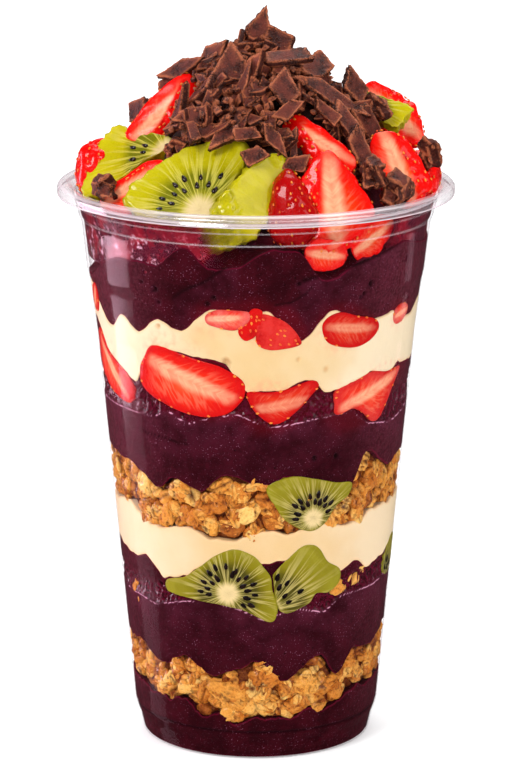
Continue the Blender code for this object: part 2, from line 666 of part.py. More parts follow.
def main():
    """Build every piece, from the pieces that keep their form to those cut round them."""
    clear_scene()
    rng = random.Random(SEED)
    cup_pieces = make_collection("acai_cup")
    scratch = make_collection("scratch")
    build_cup(cup_pieces)

    pressed = []
    for piece in (*WALL_FRUIT, *(behind(piece) for piece in WALL_FRUIT if piece.name in SEEN_AGAIN_BEHIND)):
        item = add_piece(piece.name, piece.fruit, wall_fruit_shape(piece), cup_pieces)
        whole = item.data.copy()
        cut_clear(item, pressed, scratch)
        pressed.append(whole)

    heaped = []
    for piece in TOPPINGS:
        item = add_piece(piece.name, piece.fruit, topping_shape(piece), cup_pieces)
        whole = item.data.copy()
        combine(item, "INTERSECT", [cavity(scratch)])
        cut_clear(item, heaped, scratch)
        heaped.append(whole)
    for name, centre, half_sizes, turn in CHUNKS:
        item = add_piece(name, "chocolate", chunk_shape(centre, half_sizes, turn, rng), cup_pieces)
        whole = item.data.copy()
        combine(item, "INTERSECT", [cavity(scratch)])
        cut_clear(item, heaped, scratch)
        heaped.append(whole)

    layers = (("acai_base", "acai", None, BASE_TOP), ("acai_low", "acai", GRANOLA_LOW_TOP, ACAI_LOW_TOP),
              ("cream_low", "cream", ACAI_LOW_TOP, CREAM_LOW_TOP),
              ("acai_mid", "acai", GRANOLA_MID_TOP, ACAI_MID_TOP),
              ("cream_high", "cream", ACAI_MID_TOP, CREAM_HIGH_TOP),
              ("acai_top", "acai", CREAM_HIGH_TOP, ACAI_TOP_TOP))
    for name, stuff, lower, upper in layers:
        layer = add_piece(name, stuff, layer_shape(lower, upper), cup_pieces)
        if name == "acai_top":
            dome = layer.data.copy()
        cut_clear(layer, pressed + heaped, scratch)
    for name, lower, upper in (("granola_low", BASE_TOP, GRANOLA_LOW_TOP),
                               ("granola_mid", CREAM_LOW_TOP, GRANOLA_MID_TOP)):
        layer = granola_layer(name, lower, upper, cup_pieces, scratch, rng)
        cut_clear(layer, pressed, scratch)

    heap = build_heap(cup_pieces, scratch, rng)
    cut_clear(heap, [dome, *heaped], scratch)
    bpy.data.collections.remove(scratch)


main()
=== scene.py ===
"""Looks of a tall clear cup of layered acai, vanilla cream, granola and fruit under chocolate.

Lengths are millimetres until a mesh is made. Angles are degrees round the cup from its front, which
looks towards -Y, and grow to the right. The photograph's pieces are placed by angle and height.
"""
import logging
import math
from dataclasses import dataclass, field, replace
from enum import Enum

import bpy
import numpy as np
from bpy.types import Material
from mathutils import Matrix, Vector
from numpy.random import default_rng


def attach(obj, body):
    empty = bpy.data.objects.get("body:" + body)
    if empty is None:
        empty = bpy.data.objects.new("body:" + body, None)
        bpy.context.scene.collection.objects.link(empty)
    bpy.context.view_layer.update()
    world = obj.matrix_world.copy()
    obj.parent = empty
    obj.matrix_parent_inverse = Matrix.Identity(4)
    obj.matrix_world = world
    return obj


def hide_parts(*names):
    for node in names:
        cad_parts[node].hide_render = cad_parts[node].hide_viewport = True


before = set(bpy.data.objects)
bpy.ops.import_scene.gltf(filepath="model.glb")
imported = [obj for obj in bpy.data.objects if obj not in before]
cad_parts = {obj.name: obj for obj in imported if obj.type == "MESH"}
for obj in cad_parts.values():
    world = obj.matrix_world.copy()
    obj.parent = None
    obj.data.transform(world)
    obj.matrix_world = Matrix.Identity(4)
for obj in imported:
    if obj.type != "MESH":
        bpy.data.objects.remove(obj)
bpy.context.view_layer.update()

LOG = logging.getLogger("acai_cup")
Array = np.ndarray
Colour = tuple[float, float, float]
Knots = tuple[tuple[float, float], ...]
MM = 0.001
UP = np.array([0, 0, 1])
GOLDEN_ANGLE = 137.50776

# Cup, as in the part's source: outside of the wall as (height, radius), and the wall's thickness
OUTER_WALL = ((4.5, 29.4), (7.5, 30.6), (55.5, 35), (103.5, 39.5), (116, 41.1), (118.5, 41.7),
              (131, 43.1), (132, 43.7), (137.2, 44.9))
WALL = 0.7
FLOOR_TOP = 1.7

# How far the filling reaches into the wall, so that no air shows between them
LAYER_SINK = 0.42
FRUIT_SINK = 0.64
FLAKE_SINK = 0.6

# Radii at which degrees are taken for millimetres: patterns on the wall, bubbles and granola
PATTERN_RADIUS = 40
BUBBLE_RADIUS = 41
GRANOLA_RADIUS = 36
CRUST_RADIUS = 38

# The heap of chocolate: its axis, a point in its middle, and (radius, height) up its side
HEAP_AXIS = np.array([0, -2, 0])
HEAP_MIDDLE = np.array([0, -2, 138])
HEAP_PROFILE = ((29, 147), (26, 155), (18, 163), (8.5, 170.5), (0, 175))


def shade(red: float, green: float, blue: float) -> Colour:
    """Scene colour from screen values of 0 to 255: ((v + 0.055) / 1.055) to the power 2.4."""
    values = (np.array([red, green, blue]) / 255 + 0.055) / 1.055
    return tuple(float(value) for value in values ** 2.4)


# The shader kit

class Wire:
    """An output socket that takes part in sums; each sum adds one Math node."""

    def __init__(self, kit: "Kit", socket: bpy.types.NodeSocket) -> None:
        self.kit = kit
        self.socket = socket

    def sum_with(self, operation: str, first: "Wire | float", second: "Wire | float") -> "Wire":
        """One Math node on two values."""
        return self.kit.node("Math", {"operation": operation}, {0: first, 1: second})

    def __add__(self, other: "Wire | float") -> "Wire":
        """self + other."""
        return self.sum_with("ADD", self, other)

    def __radd__(self, other: float) -> "Wire":
        """other + self."""
        return self.sum_with("ADD", other, self)

    def __sub__(self, other: "Wire | float") -> "Wire":
        """self - other."""
        return self.sum_with("SUBTRACT", self, other)

    def __rsub__(self, other: float) -> "Wire":
        """other - self."""
        return self.sum_with("SUBTRACT", other, self)

    def __mul__(self, other: "Wire | float") -> "Wire":
        """self * other."""
        return self.sum_with("MULTIPLY", self, other)

    def __rmul__(self, other: float) -> "Wire":
        """other * self."""
        return self.sum_with("MULTIPLY", other, self)

    def __pow__(self, other: float) -> "Wire":
        """self to the power other."""
        return self.sum_with("POWER", self, other)

    def __abs__(self) -> "Wire":
        """Size of self without its sign."""
        return self.sum_with("ABSOLUTE", self, 0)


class Kit:
    """The node tree of one material."""

    def __init__(self, name: str) -> None:
        """Start an empty material.

        Args:
            name: name of the material.
        """
        self.material = bpy.data.materials.new(name)
        self.material.use_nodes = True
        self.tree = self.material.node_tree
        self.tree.nodes.clear()

    def node(self, kind: str, settings: dict | None = None, inputs: dict | None = None,
             output: int | str = 0) -> Wire:
        """Add one node.

        Args:
            kind: the node's type.
            settings: its own settings; "stops" fills a colour ramp.
            inputs: a number, a colour or a wire for each named or numbered socket.
            output: which output the wire comes from.

        Returns:
            The wire of that output.
        """
        made = self.tree.nodes.new("ShaderNode" + kind)
        for name, value in (settings or {}).items():
            if name == "stops":
                ramp = made.color_ramp
                ramp.elements.remove(ramp.elements[-1])
                ramp.elements[0].position = value[0][0]
                ramp.elements[0].color = (*value[0][1], 1)
                for place, colour in value[1:]:
                    ramp.elements.new(place).color = (*colour, 1)
            else:
                setattr(made, name, value)
        for name, value in (inputs or {}).items():
            socket = made.inputs[name]
            if isinstance(value, Wire):
                self.tree.links.new(value.socket, socket)
            elif socket.type == "RGBA":
                socket.default_value = (*value, 1)
            else:
                socket.default_value = value
        return Wire(self, made.outputs[output])

    def place(self) -> Wire:
        """Object coordinates in millimetres."""
        metres = self.node("TexCoord", output="Object")
        return self.node("VectorMath", {"operation": "SCALE"}, {0: metres, "Scale": 1000})

    def value(self, name: str) -> Wire:
        """A number kept on the mesh."""
        return self.node("Attribute", {"attribute_name": name}, output="Fac")

    def vector(self, name: str) -> Wire:
        """A vector kept on the mesh."""
        return self.node("Attribute", {"attribute_name": name}, output="Vector")

    def part(self, vector: Wire, axis: str) -> Wire:
        """One part, X, Y or Z, of a vector."""
        return self.node("SeparateXYZ", {}, {0: vector}, axis)

    def noise(self, vector: Wire, size: float, detail: float = 2, rough: float = 0.5) -> Wire:
        """Cloudy noise of 0 to 1 with blots of about a size."""
        return self.node("TexNoise", {},
                         {"Vector": vector, "Scale": 1 / size, "Detail": detail, "Roughness": rough})

    def ease(self, value: Wire, low: float, high: float, start: float = 0, end: float = 1) -> Wire:
        """Smooth change from start at low to end at high."""
        return self.node("MapRange", {"interpolation_type": "SMOOTHSTEP"},
                         {"Value": value, "From Min": low, "From Max": high, "To Min": start, "To Max": end})

    def mix(self, share: Wire | float, first: Wire | Colour, second: Wire | Colour) -> Wire:
        """Blend of two colours."""
        # Sockets 6 and 7 are the Mix node's two colours, and output 2 its colour
        return self.node("Mix", {"data_type": "RGBA"}, {0: share, 6: first, 7: second}, 2)

    def ramp(self, share: Wire, stops: tuple) -> Wire:
        """Colour ramp through stops of (place, colour)."""
        return self.node("ValToRGB", {"stops": stops}, {0: share})

    def bump(self, height: Wire, depth: float) -> Wire:
        """Normal of a relief whose value 1 stands a depth in millimetres proud."""
        return self.node("Bump", {}, {"Strength": 1, "Distance": depth * MM, "Height": height})

    def rays(self, vector: Wire, fineness: float) -> Wire:
        """Noise that changes round the origin of a local XY vector and hardly along a spoke.

        Args:
            vector: local place, with the origin at the core.
            fineness: scale of the noise.

        Returns:
            Values of 0 to 1.
        """
        flat = self.node("VectorMath", {"operation": "MULTIPLY"}, {0: vector, 1: (1, 1, 0)})
        spoke = self.node("VectorMath", {"operation": "NORMALIZE"}, {0: flat})
        seeded = self.node("VectorMath", {"operation": "MULTIPLY_ADD"},
                           {0: vector, 1: (0.1, 0.1, 3.7), 2: spoke})
        return self.noise(seeded, 1 / fineness, 2, 0.55)

    def surface(self, inputs: dict) -> Wire:
        """A Principled shader."""
        return self.node("BsdfPrincipled", {}, inputs)

    def dressed(self, inputs: dict) -> Material:
        """A material of one Principled shader."""
        return self.finish(self.surface(inputs))

    def finish(self, shader: Wire) -> Material:
        """Send a shader to the output and hand over the material.

        Args:
            shader: output of the last shader.

        Returns:
            The material.
        """
        end = self.tree.nodes.new("ShaderNodeOutputMaterial")
        self.tree.links.new(shader.socket, end.inputs["Surface"])
        return self.material



# Surfaces as grids

class Ends(Enum):
    """How the first and last rows of a grid close."""

    POLES = "each draws together to a point"
    LOOP = "the last row joins the first"


@dataclass
class Form:
    """Closed grids of points in millimetres, with the values that a finish reads.

    points has the shape (copies, rows, columns, 3), and its columns run round and join.
    """

    points: Array
    values: dict[str, Array] = field(default_factory=dict)
    ends: Ends = Ends.POLES

    def flat(self, grid: Array) -> Array:
        """Values of the grid's points in the mesh's order, a pole's averaged.

        Args:
            grid: one value for each point of the grid.

        Returns:
            One value for each vertex.
        """
        grid = np.broadcast_to(grid, self.points.shape[:3] + grid.shape[3:])
        tail = grid.shape[3:]
        if self.ends is Ends.LOOP:
            return grid.reshape(-1, *tail)
        middle = grid[:, 1:-1].reshape(len(grid), -1, *tail)
        first, last = grid[:, :1].mean(axis=2), grid[:, -1:].mean(axis=2)
        return np.concatenate([first, middle, last], axis=1).reshape(-1, *tail)

    def faces(self) -> tuple[Array, Array]:
        """Corners of the triangles and quads, wound so that they point outwards.

        Returns:
            Vertex numbers of the triangles and of the quads.
        """
        copies, rows, columns = self.points.shape[:3]
        column = np.arange(columns)
        following = (column + 1) % columns
        if self.ends is Ends.LOOP:
            count = rows * columns
            row = (np.arange(rows) * columns)[:, None]
            upper = ((np.arange(rows) + 1) % rows * columns)[:, None]
            triangles = np.zeros((0, 3), int)
        else:
            count = (rows - 2) * columns + 2
            row = (np.arange(rows - 3) * columns)[:, None] + 1
            upper = row + columns
            top = count - 1 - columns
            triangles = np.concatenate([
                packed(0, following + 1, column + 1), packed(count - 1, top + column, top + following)])
        quads = packed(row + column, row + following, upper + following, upper + column).reshape(-1, 4)
        shift = (np.arange(copies) * count)[:, None, None]
        triangles = (triangles + shift).reshape(-1, 3)
        quads = (quads + shift).reshape(-1, 4)
        spots = self.flat(self.points)
        halves = np.concatenate([triangles, quads[:, :3], quads[:, [0, 2, 3]]])
        first, second, third = (spots[halves[:, step]] for step in range(3))
        if (first * np.cross(second, third)).sum() < 0:
            return triangles[:, ::-1], quads[:, ::-1]
        return triangles, quads


def make_mesh(name: str, forms: list[Form]) -> bpy.types.Mesh:
    """Put grids into one mesh.

    Args:
        name: the mesh's name.
        forms: grids that all carry the same named values.

    Returns:
        The smooth-shaded mesh in metres, with one point attribute for each value.
    """
    counts = [len(form.flat(form.points)) for form in forms]
    bases = np.cumsum([0, *counts[:-1]])
    faces = [form.faces() for form in forms]
    triangles = np.concatenate([pair[0] + base for pair, base in zip(faces, bases)])
    quads = np.concatenate([pair[1] + base for pair, base in zip(faces, bases)])
    points = np.concatenate([form.flat(form.points) for form in forms]) * MM
    corners = np.concatenate([triangles.ravel(), quads.ravel()])
    starts = np.concatenate([np.arange(len(triangles)) * 3, len(triangles) * 3 + np.arange(len(quads)) * 4])
    mesh = bpy.data.meshes.new(name)
    mesh.vertices.add(len(points))
    mesh.vertices.foreach_set("co", points.astype(np.float32).ravel())
    mesh.loops.add(len(corners))
    mesh.loops.foreach_set("vertex_index", corners.astype(np.int32))
    mesh.polygons.add(len(starts))
    mesh.polygons.foreach_set("loop_start", starts.astype(np.int32))
    mesh.update(calc_edges=True)
    mesh.polygons.foreach_set("use_smooth", np.ones(len(starts), dtype=bool))
    for key in forms[0].values:
        grid = np.concatenate([form.flat(form.values[key]) for form in forms]).astype(np.float32)
        if grid.ndim == 2:
            mesh.attributes.new(key, "FLOAT_VECTOR", "POINT").data.foreach_set("vector", grid.ravel())
        else:
            mesh.attributes.new(key, "FLOAT", "POINT").data.foreach_set("value", grid)
    mesh.validate()
    return mesh


def add_piece(name: str, forms: list[Form], finish: Material, nodes: tuple[str, ...]) -> None:
    """Add one piece of the cup.

    Args:
        name: the piece's name.
        forms: its grids.
        finish: its material.
        nodes: the CAD nodes that it stands for.
    """
    mesh = make_mesh(name, forms)
    mesh.materials.append(finish)
    piece = bpy.data.objects.new(name, mesh)
    bpy.context.scene.collection.objects.link(piece)
    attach(piece, "root")
    if nodes:
        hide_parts(*nodes)
    triangles = sum(len(form.faces()[0]) + 2 * len(form.faces()[1]) for form in forms)
    LOG.info("%s: %d triangles, stands for %s", name, triangles, ", ".join(nodes) or "nothing")


def packed(*parts: Array | float) -> Array:
    """Arrays spread to one shape and laid side by side along a new last axis."""
    return np.stack(np.broadcast_arrays(*parts), axis=-1)


def unit(vectors: Array) -> Array:
    """Vectors divided by their lengths."""
    return vectors / np.maximum(np.linalg.norm(vectors, axis=-1, keepdims=True), 1e-9)


def clamp(values: Array) -> Array:
    """Values held between 0 and 1."""
    return np.clip(values, 0, 1)


def drawn_in(points: Array, share: Array) -> Array:
    """Points moved to a share of their distance from the axis."""
    return points * packed(share, share, 1)


def ripple(points: Array, wavelength: float, seed: int) -> Array:
    """Smooth noise of about -1 to 1: the sum of ten sine waves of random heading and phase.

    Args:
        points: places in millimetres.
        wavelength: about how long the waves are, in millimetres.
        seed: seed of the draws.

    Returns:
        One value for each point.
    """
    waves = 10
    rng = default_rng(seed)
    headings = unit(rng.normal(size=(waves, 3)))
    headings *= math.tau / wavelength * rng.uniform(0.6, 1.7, (waves, 1))
    phases = rng.uniform(0, math.tau, waves)
    return np.sin(points @ headings.T + phases).sum(axis=-1) / math.sqrt(waves)


def rounded(corners: Array, cut: float, steps: int = 5) -> Array:
    """Line through corners, each eased by (1-t)^2 start + 2t(1-t) corner + t^2 end.

    Args:
        corners: points of shape (count, 2).
        cut: how far before and after a corner the curve starts and ends.
        steps: points on each curve.

    Returns:
        The points of the eased line.
    """
    corner = corners[1:-1]
    back = corners[:-2] - corner
    ahead = corners[2:] - corner
    start = corner + back * np.minimum(cut / np.linalg.norm(back, axis=1, keepdims=True), 0.45)
    end = corner + ahead * np.minimum(cut / np.linalg.norm(ahead, axis=1, keepdims=True), 0.45)
    t = np.linspace(0, 1, steps)[None, :, None]
    curve = (1 - t) ** 2 * start[:, None] + 2 * t * (1 - t) * corner[:, None] + t ** 2 * end[:, None]
    return np.concatenate([corners[:1], curve.reshape(-1, 2), corners[-1:]])


def inner_radius(height: Array) -> Array:
    """Radius of the wall's inside at a height: straight lines between the wall's corners."""
    heights, radii = np.array(((0, 28.4), *OUTER_WALL)).T
    return np.interp(height, heights, radii) - WALL


def on_wall(angle: Array, height: Array, radius: Array) -> Array:
    """Points at an angle from the shown side, a height and a radius."""
    turn = np.radians(angle)
    return packed(radius * np.sin(turn), -radius * np.cos(turn), height)


def facing(azimuth: Array, lean: Array, roll: Array) -> Array:
    """Directions of pieces by where they face.

    Args:
        azimuth: degrees round the cup that the face looks towards.
        lean: degrees that it looks upwards.
        roll: degrees that its tip is turned clockwise from straight up the face.

    Returns:
        Array (count, 3, 3) whose rows are the tip, across and outward directions.
    """
    turn, rise, spin = np.radians(np.broadcast_arrays(np.atleast_1d(azimuth), lean, roll))
    out = packed(np.sin(turn) * np.cos(rise), -np.cos(turn) * np.cos(rise), np.sin(rise))
    up = unit(UP - out * out[:, 2:])
    right = np.cross(up, out)
    tip = up * np.cos(spin)[:, None] + right * np.sin(spin)[:, None]
    return np.stack([tip, np.cross(out, tip), out], axis=1)


def carried(local: Array, places: Array, axes: Array) -> Array:
    """Local grids turned by their axes and moved to their places."""
    return np.einsum("nrck,nkj->nrcj", local, axes) + places[:, None, None]


def ball(rows: int, columns: int) -> Array:
    """Unit ball with its poles on local Z: (sin a cos b, sin a sin b, cos a).

    Args:
        rows: rows from pole to pole.
        columns: points round.

    Returns:
        Grid of points.
    """
    down = np.linspace(0, math.pi, rows)[:, None]
    turn = np.arange(columns) * math.tau / columns
    return packed(np.sin(down) * np.cos(turn), np.sin(down) * np.sin(turn), np.cos(down))


def outward(points: Array) -> Array:
    """Unit normals of grids from the cross product of their row and column steps, facing off the middle.

    Args:
        points: grids of points.

    Returns:
        One normal for each point.
    """
    along = np.gradient(points, axis=1)
    around = np.roll(points, -1, axis=2) - np.roll(points, 1, axis=2)
    normal = unit(np.cross(along, around))
    middle = points.mean(axis=(1, 2), keepdims=True)
    facing_out = np.sign(((points - middle) * normal).sum(axis=(1, 2, 3), keepdims=True))
    return normal * facing_out


# Finishes

@dataclass(frozen=True)
class ClearPlastic:
    """Thin clear plastic: see-through, with a gloss that grows at a slant, and painted highlight lines of
    milky white at its lip.
    """

    name: str = "clear_plastic"
    gloss: float = 0.018
    slant_gloss: float = 0.35
    lip_gloss: float = 0.09
    # Milky white of the lip, also the colour of its painted highlights
    milk: Colour = shade(246, 232, 238)
    # Height, half width, core and strength of each painted highlight line round the cup: a band of milky
    # white
    painted_highlight_lines: tuple = ((137.25, 0.5, 0.1, 0.45), (139.75, 0.4, 0.1, 0.34), (131.9, 0.3, 0.05, 0.16),
                           (135, 0.25, 0.05, 0.12))

    def material(self) -> Material:
        """Transparent mixed with gloss by how slanting the view is, milky where the lip turns, and whiter
        there at a slant and in painted highlight lines.

        Returns:
            The material.
        """
        kit = Kit(self.name)
        height = kit.part(kit.place(), "Z")
        slant = kit.node("LayerWeight", {}, {"Blend": 0.5}, "Facing")
        lip = kit.ease(height, 136.6, 137.2)
        gloss = slant ** 5 * self.slant_gloss + self.gloss + lip * self.lip_gloss
        clear = kit.node("BsdfTransparent", {}, {"Color": (0.99, 0.98, 0.985)})
        shine = kit.node("BsdfGlossy", {}, {"Color": (1, 1, 1), "Roughness": 0.12})
        wall = kit.node("MixShader", {}, {0: gloss, 1: clear, 2: shine})
        milk = kit.surface({"Base Color": self.milk, "Roughness": 0.2})
        # Painted highlights: besides its faint milkiness, the lip turns whiter at a slant and in bands of
        # milky white
        haze = lip * 0.06 + slant ** 3 * lip * 0.2
        for level, reach, line, share in self.painted_highlight_lines:
            haze = haze + kit.ease(abs(height - level), reach, line) * share
        return kit.finish(kit.node("MixShader", {}, {0: haze, 1: wall, 2: milk}))


@dataclass(frozen=True)
class AcaiPulp:
    """Frozen acai pulp against the wall: deep maroon, mottled, redder along its edges."""

    name: str
    deep: Colour = shade(42, 1, 10)
    light: Colour = shade(60, 6, 18)
    # Painted sheen: the paler mauve of the pulp towards the cup's left and right sides
    sides: Colour = shade(108, 44, 58)
    # Pale haze below creases, partly painted sheen, and painted highlights along fold lips and round bubbles
    haze: Colour = shade(96, 38, 60)
    # Painted highlight along the lip of each wet fold
    lip: Colour = shade(216, 150, 178)
    rim: Colour = shade(112, 12, 44)
    juice: Colour = shade(104, 4, 18)
    wet: Colour = shade(88, 9, 34)

    def material(self) -> Material:
        """Mottled pulp with ice grain and wet folds, painted shade in pin-prick bubbles and creases, painted
        glint specks, painted highlights on fold lips and a painted sheen towards the cup's sides.

        Returns:
            The material.
        """
        kit = Kit(self.name)
        place = kit.place()
        wet = kit.value("wet")
        blots = kit.noise(place, 7, 3, 0.6)
        grain = kit.noise(place, 0.75, 2, 0.6)
        glint_noise = kit.noise(place, 0.34, 1, 0.5)
        chance = kit.node("TexVoronoi", {}, {"Vector": place, "Scale": 0.42}, "Color")
        bubbles = kit.node("TexVoronoi", {}, {"Vector": place, "Scale": 0.42}, "Distance")
        prick = kit.ease(bubbles, 0.13, 0.07) * kit.ease(kit.part(chance, "X"), 0.80, 0.84)
        colour = kit.mix(kit.ease(blots * 0.7 + grain * 0.3, 0.38, 0.66), self.deep, self.light)
        # Painted sheen: paler towards the cup's left and right sides
        side_sheen = kit.ease(abs(kit.part(place, "X")), 18, 40) * kit.ease(grain, 0.3, 0.7, 0.2, 0.8)
        colour = kit.mix(side_sheen, colour, self.sides)
        # Pale haze below creases, partly painted sheen, and painted highlights on fold lips and round
        # bubbles
        colour = kit.mix(kit.value("haze") * kit.ease(blots, 0.3, 0.65, 0.1, 0.8), colour, self.haze)
        colour = kit.mix(kit.value("juice") * 0.35, colour, self.juice)
        colour = kit.mix(wet * kit.ease(grain, 0.4, 0.6), colour, self.wet)
        # Painted highlight along the lips of wet folds, where the lower mass catches the light
        lip = kit.ease(kit.value("haze"), 0.7, 0.95) * kit.ease(grain * 0.5 + blots, 0.6, 0.78)
        colour = kit.mix(lip, colour, self.lip)
        edge = kit.ease(kit.value("rim") + grain * 0.5, 0.72, 0.35)
        colour = kit.mix(edge * 0.5, colour, self.rim)
        # Painted shade in creases and in bubbles at the wall
        colour = kit.mix(kit.value("crease") * 0.8, colour, shade(26, 2, 8))
        # Painted shade in the pin-prick bubbles
        colour = kit.mix(prick * 0.8, colour, shade(30, 2, 8))
        # Painted glints: tiny light specks scattered over the pulp
        painted_glint_specks = kit.ease(glint_noise, 0.67, 0.74) * kit.ease(blots, 0.4, 0.64, 0.15, 0.6)
        colour = kit.mix(painted_glint_specks, colour, shade(160, 100, 128))
        rough = kit.ease(blots + grain * 0.4, 0.4, 1, 0.42, 0.58) - wet * 0.25
        relief = grain * 0.5 + blots * 1.1 - prick * 1.3
        return kit.dressed({
            "Base Color": colour, "Roughness": rough, "Specular IOR Level": 0.02,
            "Coat Weight": wet * 0.5 + edge * 0.05, "Coat Roughness": 0.08,
            "Normal": kit.bump(relief, 0.3)})


@dataclass(frozen=True)
class VanillaCream:
    """Smooth pale vanilla cream, warmer at the front and its edges, stained pink by strawberries; a painted
    sheen makes it paler towards the cup's sides, and painted shade darker lower down and in its bubbles.
    """

    name: str
    pale: Colour = shade(234, 216, 182)
    warm: Colour = shade(218, 187, 134)
    # Painted shade: the darker, warmer cream lower down
    low: Colour = shade(232, 190, 136)
    rim: Colour = shade(240, 200, 150)
    stain: Colour = shade(236, 132, 108)

    def material(self) -> Material:
        """Soft drifts of two creams with a faint wavy relief, a painted sheen towards the cup's sides, and
        painted shade lower down and in bubbles.

        Returns:
            The material.
        """
        kit = Kit(self.name)
        place = kit.place()
        drift = kit.noise(place, 11, 2, 0.5)
        fine = kit.noise(place, 1.6, 2, 0.5)
        # Painted sheen: paler cream towards the cup's left and right sides
        side = kit.ease(abs(kit.part(place, "X")), 6, 34)
        # Painted shade: darker and warmer towards the bottom, as the light comes from above
        below = kit.ease(kit.part(place, "Z"), 92, 66)
        colour = kit.mix(kit.ease(drift * 0.6 - side * 0.5, -0.2, 0.42), self.pale, self.warm)
        colour = kit.mix(below * 0.2, colour, self.low)
        edge = kit.ease(kit.value("rim") + fine * 0.6, 1.3, 0.4)
        colour = kit.mix(edge * 0.6, colour, self.rim)
        stain = kit.value("juice") * kit.ease(fine + drift, 0.9, 1.4, 0, 0.4)
        colour = kit.mix(stain, colour, self.stain)
        # Painted shade in the cream's bubbles
        colour = kit.mix(kit.value("crease") * 0.5, colour, shade(206, 150, 90))
        return kit.dressed({
            "Base Color": colour, "Roughness": 0.42, "Specular IOR Level": 0.05,
            "Subsurface Weight": 0.08, "Subsurface Radius": (1, 0.7, 0.4), "Subsurface Scale": 2 * MM,
            "Normal": kit.bump(drift * 0.8 + fine * 0.2, 0.6)})


@dataclass(frozen=True)
class StrawberryFlesh:
    """A cut strawberry: glossy red skin, orange-red flesh and a pale streaked core."""

    name: str
    skin: Colour = shade(250, 8, 3)
    dark_skin: Colour = shade(160, 0, 5)
    rim: Colour = shade(246, 22, 2)
    flesh: Colour = shade(246, 54, 10)
    inner: Colour = shade(248, 100, 48)
    core: Colour = shade(252, 184, 142)
    frost: Colour = shade(246, 184, 168)
    rough: float = 0.2
    coat: float = 0.5
    core_share: float = 0.8

    def material(self) -> Material:
        """Rings from the core to the skin, crossed by fibres that run outwards.

        Returns:
            The material.
        """
        kit = Kit(self.name)
        local = kit.vector("local")
        share = kit.value("share")
        skin = kit.value("skin")
        along, across = kit.part(local, "X"), kit.part(local, "Y")
        slant = along - abs(across) * 0.6
        flow = kit.node("CombineXYZ", {},
                          {0: slant * 5.5, 1: across * 1.4, 2: kit.part(local, "Z") * 3.7})
        fibres = kit.noise(flow, 1, 2, 0.55)
        frost = kit.value("frost")
        fine = kit.noise(kit.place(), 0.8, 2, 0.6)
        cloud = kit.noise(kit.place(), 4, 2, 0.5)
        hollow = kit.ease(abs(across) + abs(along) * 0.12, 0, 0.16)
        reach = (abs(along + 0.05) ** 2 * 0.7 + abs(across) ** 2 * 9) ** 0.5 + (cloud - 0.5) * 0.5
        core = kit.ease(reach, 1.1, 0.35) * kit.ease(fibres + fine * 0.3, 0.3, 0.75, 0.72, 1)
        streaks = kit.ease(abs(fibres - 0.5), 0.09, 0) * kit.ease(share, 0.92, 0.5)
        depth = share + (fibres - 0.5) * 0.3 + (cloud - 0.5) * 0.2
        colour = kit.ramp(depth, ((0, self.inner), (0.4, self.flesh), (0.76, self.rim), (0.96, self.skin)))
        pale = core * self.core_share * (hollow * 0.25 + 0.75) + streaks * 0.18
        colour = kit.mix(pale, colour, self.core)
        hide = kit.mix(kit.ease(cloud + fine * 0.3, 0.25, 0.7), self.dark_skin, self.skin)
        colour = kit.mix(skin, colour, hide)
        # Painted shade: a negative frost darkens the piece towards dark skin
        colour = kit.mix(kit.ease(frost, 0, -1), colour, self.dark_skin)
        milky = kit.ease(frost, 0, 1) * kit.ease(cloud + fine * 0.5, 0.45, 0.95)
        colour = kit.mix(milky, colour, self.frost)
        relief = fine * 0.5 + fibres * 0.3 + cloud * 0.7
        return kit.dressed({
            "Base Color": colour, "Roughness": self.rough + fine * 0.14, "Specular IOR Level": 0.08,
            "Coat Weight": (skin * 0.6 + 0.4) * self.coat, "Coat Roughness": 0.07,
            "Subsurface Weight": 0.06, "Subsurface Radius": (1, 0.25, 0.15), "Subsurface Scale": 2 * MM,
            "Normal": kit.bump(relief, 0.42)})


